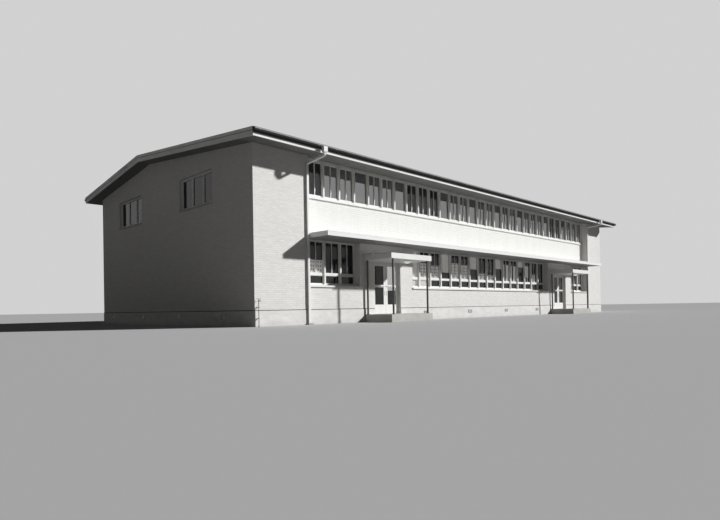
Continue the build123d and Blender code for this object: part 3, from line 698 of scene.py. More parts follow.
DRESSED: tuple[tuple[Finish, str], ...] = (
    (BRICK, "gable_walls_lower gable_walls_upper end_panels base_walls door_piers door_lintels"),
    (BRICK, "rear_wall_lower rear_wall_upper"),
    (RENDER, "plinth_front plinth_sides plinth_rear"),
    (CONCRETE, "ground_floor upper_floor porch_slabs brick_wall_sills"),
    (WHITE_TIMBER, "brick_wall_frames lower_window_frames upper_window_frame lower_sills upper_sill"),
    (WHITE_TIMBER, "front_wall_plate fascias door_frames"),
    (BARGE_PAINT, "barge_boards"),
    (WHITE_BOARDS, "spandrel"),
    (AWNING_SHEET, "awning"),
    (WHITE_SHEET, "porch_canopies"),
    (ROOF_SHEET, "roof_slope_front roof_slope_rear"),
    (ROOF_FLASHING, "ridge_cap"),
    (GUTTER, "gutters"),
    (PIPE, "rainwater_heads downpipes"),
    (POST, "porch_posts"),
    (WHITE_DOOR, "door_leaf_1 door_leaf_2 door_leaf_3 door_leaf_4"),
    (DOOR_GLASS, "door_glass_1 door_glass_3 door_glass_4"),
    (BRIGHT_GLASS, "door_glass_2"),
    (ROOM_GLASS, "lower_window_glass brick_wall_glass"),
    (BAND_GLASS, "upper_window_glass"),
)


def stand(name: str, mesh: bpy.types.Mesh) -> bpy.types.Object:
    """Puts a mesh into the scene as an object at the origin.

    Args:
        name: Name of the object.
        mesh: Its mesh.

    Returns:
        The object.
    """
    made = bpy.data.objects.new(name, mesh)
    bpy.context.scene.collection.objects.link(made)
    return made


def mount(piece: bpy.types.Object, finish: Finish, body: Body = Body.BUILDING) -> bpy.types.Object:
    """Finishes a piece and fixes it to a body.

    Args:
        piece: The finished object, at the origin.
        finish: What it is finished with.
        body: Body that it moves with.

    Returns:
        The same object.
    """
    piece.data.materials.clear()
    piece.data.materials.append(finish.material())
    piece.data.polygons.foreach_set("material_index", [0] * len(piece.data.polygons))
    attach(piece, body.value)
    log.info("%s: %d faces on %s", piece.name, len(piece.data.polygons), body.value)
    return piece


def dress(finish: Finish, nodes: Iterable[str]) -> None:
    """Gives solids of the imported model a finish.

    Args:
        finish: The finish.
        nodes: Names of the solids' nodes.
    """
    for node in nodes:
        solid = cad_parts[node]
        if not solid.material_slots:
            solid.data.materials.append(None)
        for material_slot in solid.material_slots:
            material_slot.material = finish.material()
        log.info("%s: %s", node, finish.name)


class Shape:
    """A mesh under construction from closed solids."""

    def __init__(self) -> None:
        """Starts empty."""
        self.mesh = bmesh.new()

    def prism(self, outline: Sequence[Point], run: Point) -> None:
        """Adds a closed prism.

        Args:
            outline: Corners of one end in order.
            run: Way from that end to the other.
        """
        near = [self.mesh.verts.new(p) for p in outline]
        far = [self.mesh.verts.new(Vector(p) + Vector(run)) for p in outline]
        self.mesh.faces.new(near)
        self.mesh.faces.new(far[::-1])
        for i in range(len(near)):
            self.mesh.faces.new((near[i - 1], near[i], far[i], far[i - 1]))

    def length(self, section: Iterable[Pair], start: float, end: float) -> None:
        """Adds a closed prism along X, from the Y and Z of its section's corners."""
        self.prism([(start, y, z) for y, z in section], (end - start, 0.0, 0.0))

    def bar(self, low: Point, high: Point, axis: int, chamfer: float) -> None:
        """Adds a bar with its four long edges taken off.

        Args:
            low: Lowest corner.
            high: Highest corner.
            axis: 0, 1 or 2 for the way that the bar runs.
            chamfer: Width taken off each long edge.
        """
        u, v = (i for i in range(3) if i != axis)
        a, b, c, d, k = low[u], high[u], low[v], high[v], chamfer
        ring = ((a + k, c), (b - k, c), (b, c + k), (b, d - k), (b - k, d), (a + k, d), (a, d - k), (a, c + k))
        outline = []
        for p, q in ring:
            corner = [0.0, 0.0, 0.0]
            corner[axis], corner[u], corner[v] = low[axis], p, q
            outline.append(tuple(corner))
        run = [0.0, 0.0, 0.0]
        run[axis] = high[axis] - low[axis]
        self.prism(outline, tuple(run))

    def twins(self, low: Point, high: Point, axis: int, chamfer: float) -> None:
        """Adds a bar right of X 0 and its mirror image left of it.

        Args:
            low: Lowest corner of the right one.
            high: Highest corner of the right one.
            axis: 0, 1 or 2 for the way that the bars run.
            chamfer: Width taken off each long edge.
        """
        for side in (-1, 1):
            left, right = sorted((side * low[0], side * high[0]))
            self.bar((left, *low[1:]), (right, *high[1:]), axis, chamfer)

    def turned(self, profile: Sequence[Pair], centre: Point, axis: int, sides: int, loop: bool = False) -> None:
        """Adds a turned solid.

        Args:
            profile: Radius and height of each ring, from radius 0 to radius 0 unless it is a loop.
            centre: Point from which the heights count.
            axis: 0, 1 or 2 for the axis that it turns round.
            sides: Number of sides.
            loop: True where the last ring joins the first, as on a band.
        """
        u, v = (i for i in range(3) if i != axis)
        rings = []
        for radius, height in profile:
            ring = []
            for k in range(sides if radius > 0.0 else 1):
                angle = 2 * math.pi * k / sides
                spot = list(centre)
                spot[axis] += height
                spot[u] += radius * math.cos(angle)
                spot[v] += radius * math.sin(angle)
                ring.append(self.mesh.verts.new(spot))
            rings.append(ring)
        pairs = list(zip(rings, rings[1:])) + ([(rings[-1], rings[0])] if loop else [])
        for lower, upper in pairs:
            for k in range(sides):
                corners = [lower[k % len(lower)], lower[(k + 1) % len(lower)]]
                corners += [upper[(k + 1) % len(upper)], upper[k % len(upper)]]
                self.mesh.faces.new(list(dict.fromkeys(corners)))

    def done(self, name: str, smooth_below: float = 0.0) -> bpy.types.Mesh:
        """Ends the mesh.

        Args:
            name: Name of the mesh.
            smooth_below: Angle in degrees below which edges are smoothed, or 0 for none.

        Returns:
            The mesh, with every face outwards.
        """
        bmesh.ops.recalc_face_normals(self.mesh, faces=self.mesh.faces)
        made = bpy.data.meshes.new(name)
        self.mesh.to_mesh(made)
        self.mesh.free()
        if smooth_below:
            made.polygons.foreach_set("use_smooth", [True] * len(made.polygons))
            made.set_sharp_from_angle(angle=math.radians(smooth_below))
        return made

    def piece(self, name: str, finish: Finish, slot: Slot, smooth_below: float = 0.0) -> bpy.types.Object:
        """Ends the mesh and mounts it on the building as a piece of that name."""
        return mount(stand(name, self.done(name, smooth_below)), finish)


class Pattern:
    """Node tree with named inputs, built once and run for each piece."""

    title = ""
    inputs: tuple[tuple[str, str], ...] = ()

    def __init__(self) -> None:
        """Builds the tree: its inputs, its copies, and the finish on their plain mesh."""
        self.tree = bpy.data.node_groups.new(self.title, "GeometryNodeTree")
        sockets = self.tree.interface
        for label, kind in self.inputs:
            sockets.new_socket(label, in_out="INPUT", socket_type="NodeSocket" + kind)
        sockets.new_socket("Pieces", in_out="OUTPUT", socket_type="NodeSocketGeometry")
        graph = Graph(self.tree)
        given = graph.node("NodeGroupInput")
        solid = graph.node("GeometryNodeRealizeInstances", sockets={0: self.copies(graph, given)})
        coat = {"Geometry": solid, "Material": given.also("Finish")}
        painted = graph.node("GeometryNodeSetMaterial", sockets=coat)
        graph.node("NodeGroupOutput", sockets={0: painted})

    def copies(self, graph: Graph, given: Wire) -> Wire:
        """Adds the nodes that copy one item to its places."""
        raise NotImplementedError

    def run(self, name: str, marks: bpy.types.Mesh, values: dict[str, Any]) -> bpy.types.Object:
        """Feeds the tree and keeps its result as a plain mesh.

        Args:
            name: Name of the piece.
            marks: Mesh that the tree starts from.
            values: Value of each named input; an object given as Item goes afterwards.

        Returns:
            The finished object at the origin, with no modifier.
        """
        carrier = stand(name + "_marks", marks)
        modifier = carrier.modifiers.new("pattern", "NODES")
        modifier.node_group = self.tree
        for socket in self.tree.interface.items_tree:
            if socket.item_type == "SOCKET" and socket.in_out == "INPUT" and socket.name in values:
                modifier[socket.identifier] = values[socket.name]
        bpy.context.view_layer.update()
        graph = bpy.context.evaluated_depsgraph_get()
        mesh = bpy.data.meshes.new_from_object(carrier.evaluated_get(graph), depsgraph=graph)
        mesh.name = name
        for spare in (carrier, values.get("Item")):
            if spare is not None:
                bpy.data.objects.remove(spare)
        return stand(name, mesh)


class Setter(Pattern):
    """Node tree that sets one item at every marked place."""

    title = "set_items_at_places"
    inputs = (("Places", "Geometry"), ("Item", "Object"), ("Item Size", "Vector"), ("Finish", "Material"))

    def copies(self, graph: Graph, given: Wire) -> Wire:
        """Adds the nodes that turn the item at each place.

        Args:
            graph: The tree.
            given: Its inputs.

        Returns:
            The items in their places.
        """
        source = {"Object": given.also("Item")}
        item = graph.node("GeometryNodeObjectInfo", {"transform_space": "ORIGINAL"}, source, "Geometry")
        turn = graph.node("GeometryNodeInputNamedAttribute", {"data_type": "FLOAT_VECTOR"}, {"Name": "turn"})
        spin = graph.node("FunctionNodeEulerToRotation", sockets={0: turn})
        sockets = {"Points": given, "Instance": item, "Rotation": spin, "Scale": given.also("Item Size")}
        return graph.node("GeometryNodeInstanceOnPoints", sockets=sockets)

    def set_out(
        self, name: str, item: bpy.types.Mesh, places: Sequence[Place], finish: Finish, slot: Slot
    ) -> None:
        """Sets an item at every place and mounts them as one piece.

        Args:
            name: Name of the piece.
            item: Mesh of one item, around its own origin.
            places: Point and turn about the upright axis, in radians, of each item.
            finish: What the items are finished with.
            slot: Slot of the record that they belong to; not used.
        """
        marks = bpy.data.meshes.new(name + "_marks")
        marks.from_pydata([p for p, _ in places], [], [])
        turns = marks.attributes.new("turn", "FLOAT_VECTOR", "POINT")
        turns.data.foreach_set("vector", [c for _, turn in places for c in (0.0, 0.0, turn)])
        values = {"Item": stand(name + "_item", item), "Item Size": (1.0, 1.0, 1.0)}
        values["Finish"] = finish.material()
        mount(self.run(name, marks, values), finish)


@dataclass(frozen=True)
class RibRow:
    """A row of like ribs: where the first one's middle starts, the step to the next and each one's run."""

    count: int
    first: Point
    step: Point
    run: Point
    foot: float
    crown: float
    height: float


class Ribber(Pattern):
    """Node tree that lays a row of straight ribs."""

    title = "lay_rib_row"
    sizes = ("Count", "First", "Step", "Run", "Foot Width", "Crown Width", "Height")
    inputs = (
        ("Base", "Geometry"),
        *zip(sizes, ("Int", "Vector", "Vector", "Vector", "Float", "Float", "Float")),
        ("Finish", "Material"),
    )

    def copies(self, graph: Graph, given: Wire) -> Wire:
        """Adds the nodes that sweep one rib and copy it along the row.

        Args:
            graph: The tree.
            given: Its inputs.

        Returns:
            The ribs in their places.
        """
        line = graph.node("GeometryNodeCurvePrimitiveLine", sockets={"End": given.also("Run")})
        level = graph.node("GeometryNodeSetCurveNormal", {"mode": "Z_UP"}, {"Curve": line})
        widths = {"Bottom Width": given.also("Foot Width"), "Top Width": given.also("Crown Width")}
        section = graph.node(
            "GeometryNodeCurvePrimitiveQuadrilateral",
            {"mode": "TRAPEZOID"},
            {**widths, "Height": given.also("Height"), "Offset": 0.0},
        )
        sweep = {"Curve": level, "Profile Curve": section, "Fill Caps": True}
        rib = graph.node("GeometryNodeCurveToMesh", sockets=sweep)
        ends = {"Start Location": given.also("First"), "Offset": given.also("Step")}
        row = graph.node("GeometryNodeMeshLine", {"mode": "OFFSET"}, {"Count": given.also("Count"), **ends})
        return graph.node("GeometryNodeInstanceOnPoints", sockets={"Points": row, "Instance": rib})

    def lay(self, name: str, row: RibRow, finish: Finish, slot: Slot) -> None:
        """Lays one row of ribs and mounts them as one piece.

        Args:
            name: Name of the piece.
            row: Sizes of the row.
            finish: What the ribs are finished with.
            slot: Slot of the record that they belong to; not used.
        """
        values = {**dict(zip(self.sizes, astuple(row))), "Finish": finish.material()}
        mount(self.run(name, bpy.data.meshes.new(name + "_marks"), values), finish)


@dataclass
class Studio:
    """Camera, floor, sky and lamp."""

    camera_place: Point = (-27.4153, -24.8466, 0.6438)
    camera_right: Point = (0.69018, -0.723441, -0.01685)
    camera_up: Point = (0.008054, -0.015605, 0.999846)
    lens: float = 26.746
    shift: Pair = (-0.033333, 0.062394)
    sight: float = 2000.0
    sun_travel: Point = (-1.18, 1.0, -0.81)
    sun_strength: float = 4.72
    sun_angle: float = 2.4
    sky: float = 0.64
    fill: float = 0.046
    floor_half: float = 600.0
    floor_level: float = -0.002
    floor_tone: float = 0.5
    floor_bounce: float = 0.2

    def place_camera(self) -> None:
        """Sets the camera where the photographer stood."""
        data = bpy.data.cameras.new("viewpoint")
        data.sensor_width = 36.0
        data.sensor_fit = "HORIZONTAL"
        data.lens = self.lens
        data.shift_x, data.shift_y = self.shift
        data.clip_end = self.sight
        right, up = Vector(self.camera_right).normalized(), Vector(self.camera_up).normalized()
        turn = Matrix((right, up, right.cross(up))).transposed().to_4x4()
        camera = bpy.data.objects.new("viewpoint", data)
        camera.matrix_world = Matrix.Translation(self.camera_place) @ turn
        bpy.context.scene.collection.objects.link(camera)
        bpy.context.scene.camera = camera

    def lay_floor(self) -> None:
        """Lays a plain pale floor that keeps shadows but throws little light back."""
        half, z = self.floor_half, self.floor_level
        mesh = bpy.data.meshes.new("studio_floor")
        corners = [(-half, -half, z), (half, -half, z), (half, half, z), (-half, half, z)]
        mesh.from_pydata(corners, [], [(0, 1, 2, 3)])
        floor = stand("studio_floor", mesh)
        material = bpy.data.materials.new("studio_floor_paint")
        material.use_nodes = True
        graph = Graph(material.node_tree)
        dim, pale = (
            graph.node("ShaderNodeBsdfDiffuse", sockets={"Color": (tone, tone, tone, 1.0)})
            for tone in (self.floor_bounce, self.floor_tone)
        )
        both = graph.node("ShaderNodeMixShader", sockets={0: self.seen(graph), 1: dim, 2: pale})
        graph.node("ShaderNodeOutputMaterial", sockets={"Surface": both})
        mesh.materials.append(material)

    def seen(self, graph: Graph) -> Wire:
        """Gives 1 for what the camera sees, straight or in glass, and 0 for light on surfaces."""
        path = graph.node("ShaderNodeLightPath", output="Is Camera Ray")
        return (path + path.also("Is Glossy Ray") + path.also("Is Transmission Ray")).between(0.0, 1.0)

    def hang_sky(self) -> None:
        """Hangs a plain pale sky and its soft fill light."""
        world = bpy.data.worlds.new("studio_sky")
        world.use_nodes = True
        graph = Graph(world.node_tree)
        strength = self.seen(graph) * (self.sky - self.fill) + self.fill
        sockets = {"Color": (1.0, 1.0, 1.0, 1.0), "Strength": strength}
        light = graph.node("ShaderNodeBackground", sockets=sockets)
        graph.node("ShaderNodeOutputWorld", sockets={"Surface": light})
        bpy.context.scene.world = world

    def hang_lamp(self) -> None:
        """Hangs one large soft lamp that lights the front from the right."""
        data = bpy.data.lights.new("soft_key", "SUN")
        data.energy = self.sun_strength
        data.angle = math.radians(self.sun_angle)
        lamp = bpy.data.objects.new("soft_key", data)
        lamp.rotation_euler = Vector(self.sun_travel).to_track_quat("-Z", "Y").to_euler()
        bpy.context.scene.collection.objects.link(lamp)

    def build(self) -> None:
        """Sets up everything that isn't part of the building."""
        bpy.context.scene.view_settings.view_transform = "Standard"
        self.place_camera()
        self.lay_floor()
        self.hang_sky()
        self.hang_lamp()


@dataclass
class Work:
    """A sub-assembly, with the trees that lay what repeats in it."""

    setter: Setter
    ribber: Ribber

    def build(self) -> None:
        """Makes and mounts its pieces."""
        raise NotImplementedError


@dataclass
class Sash:
    """A slim casement in one light of a window: stiles, rails and upright bars."""

    width: float
    height: float
    bars: int = 0
    stile: float = 0.024
    rail: float = 0.018
    bar: float = 0.044
    depth: float = 0.03
    chamfer: float = 0.004

    def mesh(self, name: str) -> bpy.types.Mesh:
        """Makes the sash in the XZ plane, middle of its foot at the origin, front at Y 0.

        Args:
            name: Name of the mesh.

        Returns:
            The mesh of the sash.
        """
        shape, half, edge = Shape(), self.width / 2, self.chamfer
        inner = half - self.stile
        shape.twins((inner, 0.0, 0.0), (half, self.depth, self.height), 2, edge)
        for low in (0.0, self.height - self.rail):
            shape.bar((-inner, 0.0, low), (inner, self.depth, low + self.rail), 0, edge)
        for k in range(self.bars):
            middle = -half + self.width * (k + 1) / (self.bars + 1)
            left, right = middle - self.bar / 2, middle + self.bar / 2
            shape.bar((left, 0.0, self.rail), (right, self.depth, self.height - self.rail), 2, edge)
        return shape.done(name)


@dataclass
class HungCloth:
    """A sheet of cloth that hangs in upright folds."""

    left: float
    right: float
    foot: float
    top: float
    place: float
    fold_depth: float
    fold_width: float
    rows: int = 5
    points_to_fold: int = 8
    half_thickness: float = 0.0006

    def line(self) -> list[Pair]:
        """Lists X and Y along the folds.

        Returns:
            Points from left to right.
        """
        span = self.right - self.left
        count = max(self.points_to_fold, round(span / self.fold_width * self.points_to_fold))
        points = []
        for i in range(count + 1):
            x = self.left + span * i / count
            turn = 2 * math.pi * (x - self.left) / self.fold_width
            points.append((x, self.place + self.fold_depth * math.sin(turn)))
        return points

    def flat(self) -> Pair:
        """Gives the width and height of the cloth laid flat."""
        line = self.line()
        return sum(math.dist(a, b) for a, b in zip(line, line[1:])), self.top - self.foot

    def shape(self) -> Shape:
        """Makes the sheet with its thickness, as a closed shell.

        Returns:
            The sheet, not yet ended as a mesh.
        """
        made, line, rows = Shape(), self.line(), range(self.rows)
        corner, face = made.mesh.verts.new, made.mesh.faces.new
        heights = [self.foot + (self.top - self.foot) * j / self.rows for j in range(self.rows + 1)]
        front, back = (
            [[corner((x, y + offset, z)) for z in heights] for x, y in line]
            for offset in (-self.half_thickness, self.half_thickness)
        )
        for i in range(len(line) - 1):
            for j in rows:
                face((front[i][j], front[i + 1][j], front[i + 1][j + 1], front[i][j + 1]))
                face((back[i][j], back[i][j + 1], back[i + 1][j + 1], back[i + 1][j]))
            for j in (0, self.rows):
                face((front[i][j], back[i][j], back[i + 1][j], front[i + 1][j]))
        for i in (0, len(line) - 1):
            for j in rows:
                face((front[i][j], front[i][j + 1], back[i][j + 1], back[i][j]))
        return made


@dataclass
class FrontWindows(Work):
    """Casements, catches, blinds and curtains in the window bands of the front.

    A row of windows is a tuple of groups, each with its first bay and the bay after its last.
    Each curtain has its bay, the shares of the light where it starts and ends, its foot, its
    top and its cloth.
    """

    bays: int = 30
    mullion: float = 0.1
    edge: float = 0.07
    sash_front: float = FRAME_FRONT + 0.014
    upper_rails: Pair = (5.438, 6.835)
    tall_rails: Pair = (2.16, 3.482)
    hopper_rails: Pair = (1.71, 2.05)
    band: tuple[tuple[int, int], ...] = ((0, 30),)
    groups: tuple[tuple[int, int], ...] = ((0, 3), (7, 23), (27, 30))
    fixed_upper: frozenset[int] = frozenset({3, 6, 10, 13, 16, 19, 23, 26})
    fixed_lower: frozenset[int] = frozenset({10, 13, 16, 19})
    catch_rises: Pair = (0.25, 0.3)
    cover_half: float = 0.045
    cover_depth: float = 0.06
    cloth_place: float = -7.134
    blind_margin: float = 0.02
    batten: Pair = (0.006, 0.02)
    roller: Point = (0.004, 0.02, 0.034)
    rod: Pair = (0.006, 0.012)
    blind_fold: Pair = (0.003, 0.36)
    curtain_fold: Pair = (0.011, 0.095)
    blind_drops: tuple[tuple[int, float], ...] = ((10, 0.98), (13, 0.70), (16, 0.57), (19, 0.36))
    curtains: tuple[tuple[int, float, float, float, float, Finish], ...] = (
        (0, 0.02, 0.98, 2.165, 2.71, SPOTTED),
        (7, 0.02, 0.98, 2.165, 3.46, CURTAIN),
        (7, 0.02, 0.98, 1.715, 2.04, CURTAIN),
        (8, 0.02, 0.98, 2.165, 2.91, SPOTTED),
        (8, 0.02, 0.98, 1.715, 2.04, CURTAIN),
        (9, 0.02, 0.98, 2.165, 2.83, SPOTTED),
        (11, 0.02, 0.98, 2.165, 3.04, SPOTTED),
        (12, 0.02, 0.98, 2.165, 2.98, SPOTTED),
        (14, 0.02, 0.98, 2.165, 2.56, SPOTTED),
        (15, 0.02, 0.98, 2.165, 2.50, SPOTTED),
        (17, 0.05, 0.40, 2.165, 3.20, CURTAIN),
        (17, 0.60, 0.95, 2.165, 3.20, CURTAIN),
        (18, 0.05, 0.40, 2.165, 3.16, CURTAIN),
        (18, 0.60, 0.95, 2.165, 3.16, CURTAIN),
        (20, 0.20, 0.80, 2.45, 3.22, CURTAIN),
        (21, 0.35, 0.85, 2.165, 2.70, SPOTTED),
        (27, 0.05, 0.45, 2.165, 3.44, CURTAIN),
        (28, 0.05, 0.45, 2.165, 3.44, CURTAIN),
    )

    def light(self, bay: int, row: Sequence[tuple[int, int]]) -> Pair:
        """Finds the left and right edge of one light between its mullions.

        Args:
            bay: Number of the bay.
            row: Groups of the row of windows.

        Returns:
            Its left and right edge.
        """
        first, last = next(group for group in row if group[0] <= bay < group[1])
        left = FIRST_LINE + bay * BAY
        right = left + BAY
        left += self.edge if bay == first else self.mullion / 2
        right -= self.edge if bay == last - 1 else self.mullion / 2
        return left, right

    def hang(self, name: str, rails: Pair, lights: Sequence[Pair], bars: int) -> None:
        """Hangs casements of one kind in their lights.

        Args:
            name: Name of the pieces.
            rails: Foot and head of the lights.
            lights: Left and right edge of each light.
            bars: Upright bars in each casement.
        """
        widths = sorted({round(right - left, 4) for left, right in lights})
        for number, width in enumerate(widths):
            item = Sash(width, rails[1] - rails[0], bars).mesh(name)
            fitting = [pair for pair in lights if abs(pair[1] - pair[0] - width) < 0.001]
            places = [((sum(pair) / 2, self.sash_front, rails[0]), 0.0) for pair in fitting]
            self.setter.set_out(f"{name}_{number + 1}", item, places, WHITE_TIMBER, Slot.WHITE_PAINT)

    def catches(self, places: Sequence[Place]) -> None:
        """Fits a small lever catch on the bar of each pair of casements.

        Args:
            places: Point and turn of each catch.
        """
        shape = Shape()
        for low, high, axis in (
            ((-0.009, -0.006, -0.05), (0.009, 0.0, 0.05), 2),
            ((-0.007, -0.03, -0.006), (0.007, -0.006, 0.006), 1),
            ((-0.007, -0.034, -0.075), (0.007, -0.026, 0.006), 2),
        ):
            shape.bar(low, high, axis, 0.002)
        self.setter.set_out("casement_catches", shape.done("catch"), places, STEEL, Slot.STEEL_PAINT)

    def covers(self) -> None:
        """Covers every mullion with a deep fillet."""
        lower_rails = (self.hopper_rails[0], self.tall_rails[1])
        for label, row, (low, high) in (
            ("upper", self.band, self.upper_rails),
            ("lower", self.groups, lower_rails),
        ):
            shape = Shape()
            shape.bar((-self.cover_half, -self.cover_depth, low), (self.cover_half, 0.0, high), 2, 0.006)
            lines = [k for first, last in row for k in range(first + 1, last)]
            places = [((FIRST_LINE + k * BAY, FRAME_FRONT, 0.0), 0.0) for k in lines]
            name = f"{label}_mullion_covers"
            self.setter.set_out(name, shape.done(name), places, WHITE_TIMBER, Slot.WHITE_PAINT)

    def hang_cloth(
        self, name: str, sheet: HungCloth, finish: Finish, rails: Sequence[tuple[Point, Point, float]]
    ) -> None:
        """Hangs one sheet of cloth from its rail.

        Args:
            name: Name of the sheet.
            sheet: Its limits and folds.
            finish: The cloth.
            rails: Lowest corner, highest corner and chamfer of each bar that carries or weights it.
        """
        bars = Shape()
        for low, high, chamfer in rails:
            bars.bar(low, high, 0, chamfer)
        rail = bars.piece(name + "_rail", WHITE_TIMBER, Slot.WHITE_PAINT)
        cloth = sheet.shape().piece(name, finish, Slot.WHITE_PAINT, FOLDED)
        sheet.flat()

    def blind(self, bay: int, drop: float) -> None:
        """Hangs one roller blind with its batten behind a fixed light of the middle row.

        Args:
            bay: Number of its bay.
            drop: Length of cloth under the head.
        """
        left, right = self.light(bay, self.groups)
        left, right = left + self.blind_margin, right - self.blind_margin
        top, y = self.tall_rails[1], self.cloth_place
        foot, (half, height), (front, back, deep) = top - drop, self.batten, self.roller
        rails = [
            ((left, y - half, foot - height), (right, y + half, foot), 0.003),
            ((left, y - front, top - deep), (right, y + back, top), 0.008),
        ]
        sheet = HungCloth(left, right, foot, top, y, *self.blind_fold)
        self.hang_cloth(f"roller_blind_{bay}", sheet, BLIND, rails)

    def curtain(self, number: int, row: tuple[int, float, float, float, float, Finish]) -> None:
        """Hangs one gathered curtain from a rod between the mullions.

        Args:
            number: Number of the curtain.
            row: Its row in curtains.
        """
        bay, first, last, foot, top, finish = row
        left, right = self.light(bay, self.groups)
        y, width = self.cloth_place, right - left
        sheet = HungCloth(left + width * first, left + width * last, foot, top, y, *self.curtain_fold)
        half, height = self.rod
        rod = [((left, y - half, top), (right, y + half, top + height), 0.003)]
        self.hang_cloth(f"curtain_{number}", sheet, finish, rod)

    def build(self) -> None:
        """Hangs every casement, catch, cover, blind and curtain of the front."""
        upper = [self.light(bay, self.band) for bay in range(self.bays) if bay not in self.fixed_upper]
        lower = [bay for group in self.groups for bay in range(*group)]
        tall = [self.light(bay, self.groups) for bay in lower if bay not in self.fixed_lower]
        hoppers = [self.light(bay, self.groups) for bay in lower]
        self.hang("upper_casements", self.upper_rails, upper, 1)
        self.hang("tall_casements", self.tall_rails, tall, 1)
        self.hang("hopper_sashes", self.hopper_rails, hoppers, 0)
        levels = (self.upper_rails[0] + self.catch_rises[0], self.tall_rails[0] + self.catch_rises[1])
        places = []
        for lights, level in zip((upper, tall), levels):
            places += [(((a + b) / 2, self.sash_front, level), 0.0) for a, b in lights]
        self.catches(places)
        self.covers()
        for bay, drop in self.blind_drops:
            self.blind(bay, drop)
        for number, row in enumerate(self.curtains):
            self.curtain(number + 1, row)


@dataclass
class WallWindows(Work):
    """Casements in the brick walls at the gables and the rear."""

    light_width: float = 0.86
    light_pitch: float = 0.96
    light_height: float = 1.231
    sash_depth: float = 0.028
    lights: int = 3
    gable_face: float = 16.15
    gable_middles: Pair = (-3.0625, 3.9975)
    rear_face: float = 7.8075
    rear_windows: int = 7
    rear_pitch: float = 4.5
    feet: Pair = (1.527, 5.227)

    def places(self) -> list[Place]:
        """Lists the middle of each light's foot and its turn.

        Returns:
            Point and turn of each casement.
        """
        found = []
        for k in range(self.lights):
            shift = (k - (self.lights - 1) / 2) * self.light_pitch
            for middle in self.gable_middles:
                for side in (-1, 1):
                    found.append(((side * self.gable_face, middle + shift, self.feet[1]), side * math.pi / 2))
            for number in range(self.rear_windows):
                x = (number - (self.rear_windows - 1) / 2) * self.rear_pitch + shift
                found += [((x, self.rear_face, foot), math.pi) for foot in self.feet]
        return found

    def build(self) -> None:
        """Hangs the casements."""
        item = Sash(self.light_width, self.light_height, depth=self.sash_depth).mesh("wall_casement")
        self.setter.set_out("wall_casements", item, self.places(), WHITE_TIMBER, Slot.WHITE_PAINT)


